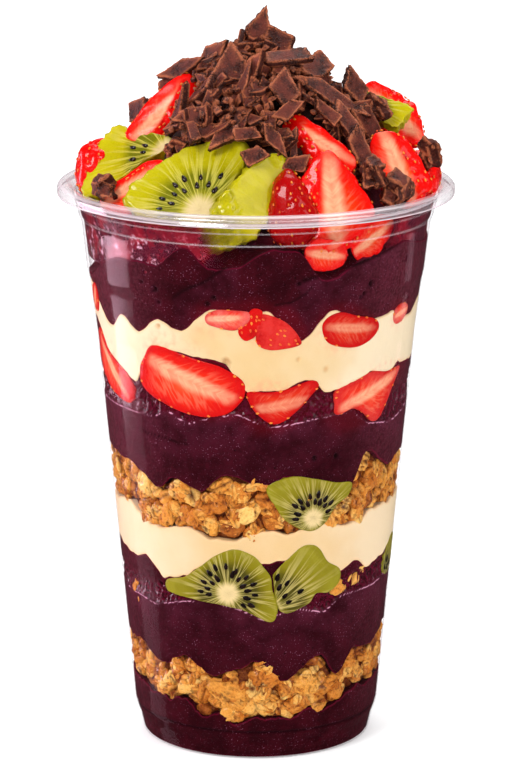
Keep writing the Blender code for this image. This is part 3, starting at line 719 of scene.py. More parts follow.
@dataclass(frozen=True)
class KiwiFlesh:
    """A cut kiwi: pale core, light rays and translucent green flesh."""

    name: str
    core: Colour = shade(228, 204, 148)
    ring: Colour = shade(112, 112, 8)
    flesh: Colour = shade(178, 166, 3)
    outer: Colour = shade(196, 184, 14)
    ray: Colour = shade(212, 198, 84)
    peel: Colour = shade(142, 134, 8)
    rough: float = 0.22
    coat: float = 0.35

    def material(self) -> Material:
        """Rings from the core outwards, crossed by thin rays.

        Returns:
            The material.
        """
        kit = Kit(self.name)
        local = kit.vector("local")
        skin = kit.value("skin")
        along, across = kit.part(local, "X"), kit.part(local, "Y")
        reach = (along ** 2 + across ** 2) ** 0.5
        spokes = kit.rays(local, 5)
        thin = kit.rays(local, 9)
        fine = kit.noise(kit.place(), 0.9, 2, 0.6)
        cloud = kit.noise(kit.place(), 5, 2, 0.5)
        depth = reach + (cloud - 0.5) * 0.14 + (fine - 0.5) * 0.06
        colour = kit.ramp(depth, ((0.16, self.flesh), (0.3, self.ring), (0.5, self.ring),
                                    (0.66, self.flesh), (0.95, self.outer)))
        lines = kit.ease(abs(thin - 0.5), 0.08, 0) * kit.ease(reach, 0.1, 0.2)
        lines = lines * kit.ease(reach, 1, 0.6, 0.3, 1)
        broad = kit.ease(spokes, 0.45, 0.75) * kit.ease(reach, 0.5, 0.15)
        colour = kit.mix(lines * 0.75 + broad * 0.4, colour, self.ray)
        clouded = kit.ease(cloud, 0.42, 0.64) * kit.ease(reach, 0.7, 1) * 0.6
        colour = kit.mix(clouded, colour, self.flesh)
        core = kit.ease(reach - spokes * 0.14 + 0.05, 0.24, 0.1)
        colour = kit.mix(core, colour, self.core)
        side = kit.mix(kit.ease(cloud + fine * 0.3, 0.45, 0.85), self.peel, self.outer)
        colour = kit.mix(skin, colour, side)
        relief = fine * 0.4 + thin * 0.4 + cloud * 0.9
        return kit.dressed({
            "Base Color": colour, "Roughness": self.rough + fine * 0.14, "Specular IOR Level": 0.08,
            "Coat Weight": skin * 0.3 + self.coat, "Coat Roughness": 0.09,
            "Subsurface Weight": 0.06, "Subsurface Radius": (0.6, 1, 0.2), "Subsurface Scale": 2 * MM,
            "Normal": kit.bump(relief, 0.42)})


@dataclass(frozen=True)
class Seeds:
    """Small hard seeds of one colour."""

    name: str
    light: Colour
    dark: Colour
    rough: float = 0.16

    def material(self) -> Material:
        """Two close colours by place, with a polished skin.

        Returns:
            The material.
        """
        kit = Kit(self.name)
        fine = kit.noise(kit.place(), 1.3, 2, 0.5)
        colour = kit.mix(kit.ease(fine, 0.35, 0.65), self.dark, self.light)
        return kit.dressed({
            "Base Color": colour, "Roughness": self.rough + fine * 0.1, "Normal": kit.bump(fine, 0.1)})


@dataclass(frozen=True)
class ToastedOats:
    """Baked oat flakes and clusters, golden on their ridges, with painted shade making them brown in their
    hollows.
    """

    name: str
    brown: Colour = shade(136, 62, 16)
    amber: Colour = shade(206, 120, 38)
    gold: Colour = shade(238, 164, 68)
    pale: Colour = shade(255, 212, 122)
    # Painted shade: the colour of dents, pits and the band's heart
    hollow: Colour = shade(84, 26, 6)

    def material(self) -> Material:
        """Each flake's own tone, mottled and darker for pieces set back from the wall (painted shade), with
        painted shade in hollows and pits, and sugar gloss.

        Returns:
            The material.
        """
        kit = Kit(self.name)
        place = kit.place()
        fine = kit.noise(place, 0.6, 3, 0.7)
        blots = kit.noise(place, 2.4, 2, 0.5)
        tone = kit.value("tone") * 0.75 + fine * 0.5 + blots * 0.4 - 0.36
        colour = kit.ramp(tone, ((0.08, self.brown), (0.36, self.amber), (0.64, self.gold),
                                   (0.95, self.pale)))
        # Painted shade in the small pits of the relief
        pores = kit.ease(fine, 0.42, 0.32)
        colour = kit.mix(pores * 0.35, colour, self.hollow)
        # Painted shade in dents and along a flake's pinched middle
        colour = kit.mix(kit.value("hollow") * kit.ease(fine, 0.3, 0.6, 1, 0.65), colour, self.hollow)
        colour = kit.mix(kit.value("spot"), colour, shade(84, 16, 8))
        return kit.dressed({
            "Base Color": colour, "Roughness": kit.ease(blots, 0.35, 0.7, 0.28, 0.55),
            "Specular IOR Level": 0.15, "Coat Weight": kit.ease(blots, 0.45, 0.58) * 0.7,
            "Coat Roughness": 0.1, "Normal": kit.bump(fine * 0.6 + blots * 0.5, 0.7)})


@dataclass(frozen=True)
class BrokenChocolate:
    """Matt dark chocolate with paler crumbly broken edges that also carry painted highlights, and painted
    shade on broken sides and in gaps.
    """

    name: str
    face: Colour = shade(112, 46, 33)
    deep: Colour = shade(52, 17, 11)
    edge: Colour = shade(206, 116, 76)
    # Painted shade: the colour of the heap's heart where it shows between shards
    gap: Colour = shade(50, 20, 13)

    def material(self) -> Material:
        """Grainy faces, and broken edges that catch the light: their rims paler, partly crumbly colour and
        partly painted highlight, their sides and the gaps darkened by painted shade.

        Returns:
            The material.
        """
        kit = Kit(self.name)
        place = kit.place()
        fine = kit.noise(place, 0.42, 3, 0.7)
        blots = kit.noise(place, 3, 2, 0.5)
        colour = kit.mix(kit.ease(blots * 0.6 + fine * 0.4, 0.36, 0.62), self.deep, self.face)
        broken = kit.value("edge")
        # Painted shade: broken sides darker
        colour = kit.mix(kit.ease(broken, 0.5, 1) * 0.45, colour, self.deep)
        # Broken rims paler: partly their crumbly colour, partly painted highlight
        pale_arris_and_highlight = kit.ease(abs(broken - 0.5), 0.5, 0.15) * kit.ease(fine + blots * 0.6, 0.62, 0.88)
        colour = kit.mix(pale_arris_and_highlight * 0.85, colour, self.edge)
        crumbs = kit.ease(fine, 0.60, 0.70) * (broken * 0.5 + 0.3)
        colour = kit.mix(crumbs, colour, self.edge)
        # Painted shade: the heart shows in the gap colour between shards
        colour = kit.mix(kit.ease(broken, 0, -1), colour, self.gap)
        return kit.dressed({
            "Base Color": colour, "Roughness": kit.ease(blots, 0.3, 0.7, 0.26, 0.46),
            "Specular IOR Level": 0.3, "Normal": kit.bump(fine * (broken * 1.2 + 0.5) + blots * 0.3, 0.7)})


@dataclass(frozen=True)
class JuiceStain:
    """A thin film of fruit juice and melted pulp on the inside of the neck."""

    name: str = "juice_stain"
    wine: Colour = shade(138, 10, 34)
    plum: Colour = shade(98, 22, 44)
    pink: Colour = shade(206, 76, 98)
    milk: Colour = shade(224, 176, 196)

    def material(self) -> Material:
        """A wine-red film, thinnest over the fruit at the front, with a few milky smears.

        Returns:
            The material.
        """
        kit = Kit(self.name)
        place = kit.place()
        across, deep, height = (kit.part(place, axis) for axis in "XYZ")
        wide = kit.noise(place, 7, 3, 0.6)
        fine = kit.noise(place, 1.6, 3, 0.6)
        window = kit.ease(across, -16, -7) * kit.ease(across, 36, 30) * kit.ease(deep, 0, -6)
        thick = kit.ease(wide + fine * 0.3, 0.4, 0.85, 0.62, 0.98)
        cover = (1 - window * 0.97) * thick * kit.ease(height, 137, 134, 0.35, 1)
        side = kit.ease(across, -10, -24) * kit.ease(deep, 0, -8)
        smear = kit.ease(kit.noise(place, 3, 3, 0.75) + fine * 0.2, 0.64, 0.76)
        colour = kit.mix(kit.ease(wide, 0.4, 0.62), self.plum, self.wine)
        colour = kit.mix(kit.ease(fine + wide * 0.5, 0.82, 1.1) * 0.7, colour, self.pink)
        colour = kit.mix(smear * side * kit.ease(height, 134.5, 130), colour, self.milk)
        film = kit.surface({"Base Color": colour, "Roughness": 0.3, "Specular IOR Level": 0.2,
                              "Normal": kit.bump(fine, 0.2)})
        clear = kit.node("BsdfTransparent", {}, {"Color": (1, 1, 1)})
        return kit.finish(kit.node("MixShader", {}, {0: cover, 1: clear, 2: film}))


# The cup

@dataclass
class Cup:
    """The clear cup: one profile turned round the axis, with its corners eased."""

    steps: int = 160
    corner: float = 0.55
    floor_radius: float = 27.3
    foot_radius: float = 28.4
    recess_radius: float = 24.5
    floor_underside: float = 0.9

    def profile(self) -> Array:
        """(radius, height) from the floor's middle up the inside, over the rim and down the outside.

        Returns:
            Points of the profile, in order.
        """
        outside = [(radius, height) for height, radius in OUTER_WALL]
        inside = [(radius - WALL, height) for radius, height in outside]
        rim = [(44.55, 139), (46.2, 140), (48, 140), (49, 139.1), (48.8, 137), (47.9, 138.7),
               (46.4, 139.1), (45.6, 138.4)]
        foot = [(self.foot_radius, 0), (self.recess_radius, 0),
                (self.recess_radius - 0.8, self.floor_underside), (0, self.floor_underside)]
        line = [(0, FLOOR_TOP), (self.floor_radius, FLOOR_TOP), *inside, *rim, *outside[::-1], *foot]
        return rounded(np.array(line), self.corner)

    def build(self) -> None:
        """Turn the profile and dress it as clear plastic."""
        radius, height = self.profile().T
        angles = np.arange(self.steps) * 360 / self.steps
        points = on_wall(angles, height[:, None], radius[:, None])[None]
        add_piece("clear_cup", [Form(points)], ClearPlastic().material(), ("cup",))


# Fruit pressed against the wall and heaped on top

def fruit_rows(depth: float, domed: bool) -> tuple[Array, Array, Array]:
    """Rows of a cut fruit, from the middle of its cut face round to the middle of its far side.

    Args:
        depth: how far the far side lies behind the face.
        domed: a strawberry's round back, or a slice's straight sides.

    Returns:
        Share of the outline, distance behind the face, and skin of 0 to 1 for each row.
    """
    if domed:
        turn = np.linspace(0.07, 1, 17) * math.pi / 2
        far = np.cos(turn) ** 0.62
        far_depth = 0.42 + (depth - 0.42) * np.sin(turn)
    else:
        far = np.array([1.005, 1.01, 1.012, 1.01, 1.005, 0.995, 0.95, 0.7, 0.35, 0])
        far_depth = np.concatenate([np.linspace(0.8, depth - 0.45, 5), [depth - 0.12], [depth] * 4])
    share = np.concatenate([np.linspace(0, 0.955, 15), [0.985, 1], far])
    behind = np.concatenate([np.zeros(15), [0.1, 0.42], far_depth])
    skin = np.concatenate([np.zeros(14), [0.15, 0.75, 1], np.ones(len(far))])
    return share, behind, skin


def egg_outline(length: float, width: float, tip: float, flat: float, columns: int) -> Array:
    """Egg shape: x = L/2 cos a, y = W/2 sin a (1 - tip cos a), cut off below flat half widths.

    Args:
        length: size along x.
        width: size along y.
        tip: how much narrower the tip is.
        flat: where the flat side cuts it, in half widths off the axis.
        columns: points round.

    Returns:
        Points of the outline.
    """
    turn = np.arange(columns) * math.tau / columns
    across = width / 2 * np.sin(turn) * (1 - tip * np.cos(turn))
    return packed(length / 2 * np.cos(turn), np.maximum(across, -flat * width / 2))


def sector_outline(radius: float, span: float, columns: int) -> Array:
    """Part of a round slice about local X, its corners softened by a running mean.

    Args:
        radius: radius of the slice.
        span: degrees that it covers.
        columns: points round.

    Returns:
        Points of the outline.
    """
    turn = np.radians(np.linspace(-span / 2, span / 2, 60))
    arc = packed(radius * np.cos(turn), radius * np.sin(turn))
    line = np.concatenate([[(-0.12 * radius, 0)], arc, [(-0.12 * radius, 0)]])
    run = np.concatenate([[0], np.cumsum(np.linalg.norm(np.diff(line, axis=0), axis=1))])
    even = np.arange(columns) * run[-1] / columns
    points = np.stack([np.interp(even, run, line[:, axis]) for axis in range(2)], axis=-1)
    return (np.roll(points, 1, axis=0) + 2 * points + np.roll(points, -1, axis=0)) / 4


def smooth_loop(corners: Array, columns: int) -> Array:
    """Closed line through points: cubic pieces whose slopes are those from neighbour to neighbour.

    Args:
        corners: points that the line passes.
        columns: points round.

    Returns:
        Points of the line.
    """
    count = len(corners)
    run = np.arange(columns) * count / columns
    step = run.astype(int)
    t = (run - step)[:, None]
    before, start, end, after = (corners[(step + shift) % count] for shift in (-1, 0, 1, 2))
    bend = (2 * before - 5 * start + 4 * end - after) * t + (3 * start - before - 3 * end + after) * t ** 2
    return start + 0.5 * t * (end - before + bend)


@dataclass(frozen=True)
class CutPiece:
    """A cut fruit, whose name starts with its kind."""

    name: str

    @property
    def fruit(self) -> str:
        """strawberry or kiwi."""
        return self.name.split("_")[0]


@dataclass(frozen=True)
class WallFruit(CutPiece):
    """A cut fruit pressed against the inside of the cup.

    angle and height place its middle on the wall. length runs along its tip direction,
    which is turned by tilt degrees from rightwards, anticlockwise. tip narrows that end,
    and flat cuts off the far side of the outline. corners, as (angle, height), replace that
    outline. core is the middle of its pattern, and radius the whole slice's. whole fruit
    shows only skin, and frost is how far pulp and cream cloud it; a negative frost
    darkens it with painted shade instead.
    """

    angle: float
    height: float
    length: float
    width: float
    tilt: float
    depth: float
    tip: float = 0
    flat: float = 1
    core: tuple[float, float] = (0, 0)
    radius: float = 0
    corners: Knots = ()
    whole: bool = False
    frost: float = 0
    seeded: bool = True

    def untilted(self, turned: Array, heights: Array) -> tuple[Array, Array]:
        """Wall points, turned from its own angle, measured along its tip and across it.

        Args:
            turned: angles from its own.
            heights: heights above the table.

        Returns:
            Places along the tip and across.
        """
        sideways, rise = np.radians(turned) * inner_radius(heights), heights - self.height
        turn = math.radians(self.tilt)
        return (sideways * math.cos(turn) + rise * math.sin(turn),
                rise * math.cos(turn) - sideways * math.sin(turn))

    def outline(self, columns: int) -> Array:
        """Outline of its cut face.

        Args:
            columns: points round.

        Returns:
            Points of the outline.
        """
        if not self.corners:
            return egg_outline(self.length, self.width, self.tip, self.flat, columns)
        angles, heights = np.array(self.corners, float).T
        return smooth_loop(packed(*self.untilted(angles - self.angle, heights)), columns)

    def reach(self) -> tuple[float, float]:
        """Half sizes that its pattern is measured in.

        Returns:
            Along the tip and across it.
        """
        if self.fruit == "kiwi":
            size = self.radius or max(self.length, self.width) / 2
            return size, size
        return self.length / 2, self.width / 2

    def skinned(self, along: Array, across: Array) -> Array:
        """How far each point lies beyond the cut, in half widths: all or none."""
        return np.full(along.shape, 1 if self.whole else -1)

    def settle(self, along: Array, across: Array, behind: Array, proud: float = FRUIT_SINK) -> Array:
        """Points wrapped round the wall: sideways becomes an angle, and depth a smaller radius.

        Args:
            along: places towards the tip.
            across: places across the tip.
            behind: depths behind the cut face.
            proud: shift outwards.

        Returns:
            Points in the cup's frame.
        """
        tilt = math.radians(self.tilt)
        sideways = along * math.cos(tilt) - across * math.sin(tilt)
        height = self.height + along * math.sin(tilt) + across * math.cos(tilt)
        radius = inner_radius(height)
        return on_wall(self.angle + np.degrees(sideways / radius), height, radius + proud - behind)

    def gap(self, angles: Array, heights: Array) -> Array:
        """Rough distance of wall points outside its outline, negative inside.

        Args:
            angles: angles of the points.
            heights: their heights.

        Returns:
            Distances in millimetres.
        """
        along, across = self.untilted((angles - self.angle + 180) % 360 - 180, heights)
        share = along / (self.length / 2)
        narrow = self.width / 2 * (1 - self.tip * np.clip(share, -1, 1))
        return (np.hypot(share, across / narrow) - 1) * self.width / 2

    def twin(self) -> "WallFruit":
        """The like piece at the back of the cup.

        Returns:
            The piece, turned to the back.
        """
        flat = self.flat < 1
        core = (-self.core[0], self.core[1]) if flat else (self.core[0], -self.core[1])
        return replace(self, name=self.name + "_behind", angle=180 - self.angle, core=core,
                       tilt=-self.tilt if flat else 180 - self.tilt,
                       corners=tuple((180 - angle, height) for angle, height in self.corners))


@dataclass(frozen=True)
class Topping(CutPiece):
    """A cut fruit on top, placed by the middle of its cut face, or a kiwi's core.

    azimuth and lean are where the face looks, round the cup and upwards. roll turns its
    tip clockwise from straight up the face. span is the part of the circle, in degrees,
    that a slice keeps. corners, as (along the tip, across it), replace either outline.
    cut is the line across = a + b along, in half sizes, where the cut face ends on the side
    of the sign: (sign, a, b).
    """

    place: tuple[float, float, float]
    azimuth: float
    lean: float
    roll: float
    length: float
    width: float
    depth: float
    tip: float = 0.3
    span: float = 0
    corners: Knots = ()
    cut: tuple[float, float, float] = (1, 9, 0)
    # How far pulp clouds the piece; below 0 it darkens the piece with painted shade instead
    frost: float = 0
    seeded: bool = True
    core: tuple[float, float] = (0, 0)

    def outline(self, columns: int) -> Array:
        """Outline of its cut face.

        Args:
            columns: points round.

        Returns:
            Points of the outline.
        """
        if self.corners:
            return smooth_loop(np.array(self.corners, float), columns)
        if self.fruit == "kiwi":
            return sector_outline(self.length, self.span, columns)
        return egg_outline(self.length, self.width, self.tip, 1, columns)

    def reach(self) -> tuple[float, float]:
        """Half sizes that its pattern is measured in.

        Returns:
            Along the tip and across it.
        """
        if self.fruit == "kiwi":
            return self.length, self.length
        return self.length / 2, self.width / 2

    def skinned(self, along: Array, across: Array) -> Array:
        """How far each point lies beyond the cut face's end, in half widths.

        Args:
            along: places towards the tip.
            across: places across the tip.

        Returns:
            One value for each point, above 0 on the skin.
        """
        half_length, half_width = self.reach()
        sign, start, slope = self.cut
        return sign * across / half_width - start - slope * along / half_length

    def settle(self, along: Array, across: Array, behind: Array, proud: float = 0) -> Array:
        """Points of the fruit in its own frame, held inside the wall and the rim."""
        axes = facing(self.azimuth, self.lean, self.roll)[0]
        return held_inside(packed(along, across, proud - behind) @ axes + np.array(self.place))

    def hides(self, points: Array) -> Array:
        """Whether points lie in the fruit or just in front of its face.

        Args:
            points: places in the cup's frame.

        Returns:
            True for the hidden ones.
        """
        axes = facing(self.azimuth, self.lean, self.roll)[0]
        local = (points - np.array(self.place)) @ axes.T
        half_length, half_width = self.reach()
        low = -0.1 * half_length if self.fruit == "kiwi" else -half_length
        inside = (local[..., 0] > low) & (local[..., 0] < half_length * 0.95)
        inside &= np.abs(local[..., 1]) < half_width * 0.9
        return inside & (local[..., 2] > -self.depth) & (local[..., 2] < 5)


def held_inside(points: Array) -> Array:
    """Points drawn in towards the axis where they would cross the wall or the rim.

    Args:
        points: places in the cup's frame.

    Returns:
        The places, moved where they must.
    """
    reach = np.hypot(points[..., 0], points[..., 1])
    limit = np.interp(points[..., 2], [100, 137.2, 139.2, 140.4, 141.2],
                      [0, 0, 1, 1.3, 3]) + inner_radius(points[..., 2]) - 0.2
    return drawn_in(points, np.minimum(limit / np.maximum(reach, 1e-6), 1))


WALL_FRUIT = (
    WallFruit("strawberry_high_left", -76, 113, 8, 6, 60, 5, 0.2),
    WallFruit("strawberry_high_face", -11.5, 113.9, 10.5, 6.4, 5, 6, 0.1, frost=0.3, corners=((-17, 114.5),
        (-13, 116), (-7, 116), (-2, 115.5), (-2.5, 113), (-7, 111), (-13, 111.5), (-17, 112.5))),
    WallFruit("strawberry_high_tip", -0.5, 112.3, 9.5, 7, -80, 6, 0.4, whole=True, corners=((2, 116),
        (2, 114), (1, 110.5), (-3, 108.5), (-5.5, 109.5), (-6, 111.5), (-3.5, 114.5), (-1, 116.5))),
    WallFruit("strawberry_high_middle", 9.5, 110.2, 11, 9, -30, 6, 0.3, whole=True, frost=0.15,
        corners=((1, 115), (6, 114.5), (11, 112.5), (15, 109), (15, 107), (6, 106), (0.5, 107.5), (0, 111))),
    # Negative frost: painted shade darkens this piece
    WallFruit("strawberry_high_right", 34, 110.2, 15, 9, -8, 7, 0.3, frost=-0.4, corners=((23, 111),
        (25, 113.5), (30, 114.5), (37, 113), (45, 111.5), (48, 109), (45, 106.5), (39, 105), (31, 105.5),
        (25, 107.5))),
    WallFruit("strawberry_high_far_right", 61, 111, 7.5, 5, 10, 5, 0.2, frost=0.35),
    WallFruit("strawberry_low_left", -65, 96.6, 21, 9.5, -42, 7, 0.35, corners=((-80, 103.5), (-74, 105),
        (-68, 101), (-58, 98), (-52, 95), (-51, 91.5), (-55, 89), (-64, 90), (-73, 92.5), (-80, 97))),
    WallFruit("strawberry_low_big", -23, 97.2, 28.5, 16.5, -21, 9, 0.32, corners=((-38, 105.5), (-44, 102),
        (-47, 97), (-44, 93.5), (-36, 91), (-25, 89), (-15, 89), (-8, 91), (-4, 94.5), (-4, 98),
        (-12, 101.5), (-23, 103.5))),
    # Negative frost: painted shade darkens this piece
    WallFruit("strawberry_low_middle", 10, 92.3, 17.5, 10.5, 8, 7, 0.3, frost=-0.4, corners=((-3, 95.5),
        (-2, 92), (1, 89.5), (6, 87.5), (10, 88), (15, 90.5), (20, 94), (23, 96.5), (20, 98), (10, 96),
        (4, 95.5))),
    WallFruit("strawberry_low_right", 47, 93, 25, 11.5, 17, 8, 0.3, frost=0.15, corners=((30, 94.5),
        (30, 91), (31, 88.5), (38, 89.5), (44, 87.5), (49, 85), (54, 86), (62, 93.5), (65, 97), (55, 97),
        (47, 98), (38, 96.5))),
    WallFruit("kiwi_mid", 22, 64.2, 20.5, 20, 0, 7, 0, 0.3, (0.6, -1.4), 12, corners=((4, 71.5), (13, 74),
        (23, 73), (32, 71.5), (40, 70.5), (39, 67.5), (33, 65), (29, 61.5), (24, 59.5), (19, 60), (12, 62.5),
        (8, 66))),
    WallFruit("kiwi_low_left", -15.5, 46, 29.5, 20.5, -12, 7, 0, 0.62, (2.6, -1.6), 13.5,
        corners=((-40, 45.5), (-30, 47.5), (-17, 53.5), (-10, 55.5), (-4, 55), (2, 52), (6, 48), (9, 39.5),
        (6, 36.5), (-8, 40), (-36, 42), (-41, 43))),
    WallFruit("kiwi_low_middle", 22, 47.8, 17.5, 14.5, 20, 7, 0, 1, (-12.5, -4.5), 18, corners=((7, 47),
        (8, 50), (18, 55.5), (23, 56), (27, 54.5), (31, 51), (37, 48.5), (37, 45), (32, 43), (26, 43),
        (22, 40.5), (11, 39))),
    WallFruit("kiwi_low_right", 78, 46.9, 12, 9, 35, 6, 0, 1, (-8, -3), 13),
)
SEEN_AGAIN_BEHIND = ("strawberry_high_tip", "strawberry_high_right", "strawberry_low_big",
                     "strawberry_low_right", "kiwi_mid", "kiwi_low_left")

TOPPINGS = (
    Topping("strawberry_front", (18.3, -34.2, 141), 6, 27, -4, 27, 19.5, 9, cut=(1, 0.26, -0.2),
        corners=((13, 0.5), (6.5, 7.5), (3.5, 9), (-4, 9.5), (-8.5, 8.5), (-11.5, 5), (-12, 0), (-10, -5.5),
        (-7, -9), (-3.5, -10), (2, -8), (10.5, -3))),
    # Negative frost: painted shade darkens this piece
    Topping("strawberry_dark", (8.8, -32.6, 138.2), 162, -15, 14, 20.5, 12.5, 6.5, 0.3, frost=-0.8),
    Topping("kiwi_thick", (7, -35, 137.5), 22, 22, -55, 17.5, 17.5, 8, seeded=False, core=(-14, 2),
        cut=(1, 0.86, -1), corners=((7.5, -13.5), (11, -10.5), (13, -6.5), (15.5, 2), (16, 10), (15.5, 14),
        (12.5, 15), (8.5, 13), (5, 9.5), (3.5, 4), (2.5, -7), (3, -12.5))),
    Topping("kiwi_front", (-13.2, -36.5, 139.5), -8, 42, -14, 19.5, 19.5, 7, corners=((8, 17), (12.5, 12.5),
        (17, 4), (18.5, -1), (18.5, -9.5), (15, -13.5), (7.5, -10), (2, -4.5), (-2, -2), (-4, 1), (-2.5, 8),
        (2, 14.5))),
    Topping("strawberry_left", (-30.5, -26, 143), -30, 35, 48, 21, 12, 6, cut=(1, 0.34, 0),
        corners=((10.5, 1.5), (8, 3), (5, 4), (1, 4), (-2.5, 3.5), (-8, 1), (-8.5, -2.5), (-5, -6), (-1, -7),
        (3, -5.5), (7.5, -3), (10.5, -1))),
    Topping("kiwi_left", (-21.4, -17.5, 150), -32, 38, -100, 20, 20, 7.5, corners=((15.5, -9), (18.5, -6),
        (21, -2.5), (21.5, 5), (21.5, 9.5), (19.5, 10.5), (13.5, 8), (6, 2), (-0.5, -1.5), (-1, -4),
        (3, -5.5), (8, -6))),
    Topping("strawberry_far_left", (-37, -5, 143.5), 100, -5, 5, 15, 13, 7, 0.25),
    Topping("strawberry_back_left", (-24, -9, 157.5), -12, 30, 38, 24, 12.5, 8, cut=(-1, 0.22, -0.6),
        corners=((13, 2), (11, 3.5), (2.5, 4.5), (-2.5, 4), (-8, 3), (-8.5, 0), (-7, -4), (-3.5, -6.5),
        (2, -6.5), (9, -4.5), (12, -2.5), (13, 0.5))),
    Topping("strawberry_slice", (14.5, -23.5, 154), 0, 30, 122, 23, 10.5, 6, cut=(-1, 0.12, 0.9),
        corners=((-7, 3.5), (-9, 1), (-9, -1), (-8, -4), (-2, -6), (0.5, -7), (5, -6.5), (10, -4.5),
        (11.5, -2), (10.5, 1), (5.5, 2.5), (-4, 3.5))),
    Topping("strawberry_right", (34, -20.5, 147), 10, 28, -17, 23, 13.5, 7, cut=(-1, 0.36, -0.1),
        corners=((10, 0.5), (8, -3.5), (4.5, -5.5), (-3.5, -7), (-6.5, -7), (-9, -5.5), (-10.5, -1.5),
        (-9.5, 2), (-5.5, 4.5), (3.5, 6), (6.5, 5), (9, 3))),
    Topping("strawberry_far_right", (39, -5, 142), -110, 0, 0, 13, 12, 6, 0.25),
    Topping("kiwi_back_right", (25.5, -1, 160), 5, 40, 112, 12.5, 12.5, 3, seeded=False,
        corners=((-0.5, 2.5), (3, 3), (7, 3), (12.5, 2.5), (12, -0.5), (11, -4), (8, -4), (3.5, -2.5),
        (-0.5, -1.5))),
    Topping("strawberry_back_right", (33.5, 5, 156), 20, 35, -40, 20, 15, 7, cut=(-1, 0.42, 0),
        corners=((10, -1.5), (7.5, -4), (3.5, -6), (0.5, -6.5), (-2.5, -6.5), (-5.5, -5), (-9.5, -1.5),
        (-10.5, 1.5), (-7, 4), (-1, 5.5), (5.5, 4), (9, 1.5))),
    Topping("strawberry_sunk_middle", (17.5, -40, 129), 20, 5, 100, 12, 8, 6, 0.2, frost=0.1, seeded=False),
    Topping("strawberry_sunk_right", (29, -33, 132), 38, 5, 60, 14, 10, 6, 0.2, seeded=False),
    Topping("strawberry_behind", (-9, 35.5, 142), 190, 30, 10, 25, 17, 8, 0.38),
    Topping("kiwi_behind", (15, 34, 140.5), 160, 40, 12, 18.5, 18.5, 7, span=185),
    Topping("kiwi_behind_left", (-30.5, 22.5, 141.5), 232, 38, -20, 18, 18, 7, span=150),
    Topping("strawberry_behind_right", (36, 20, 143), 120, 30, 20, 21, 14, 7, 0.35),
)


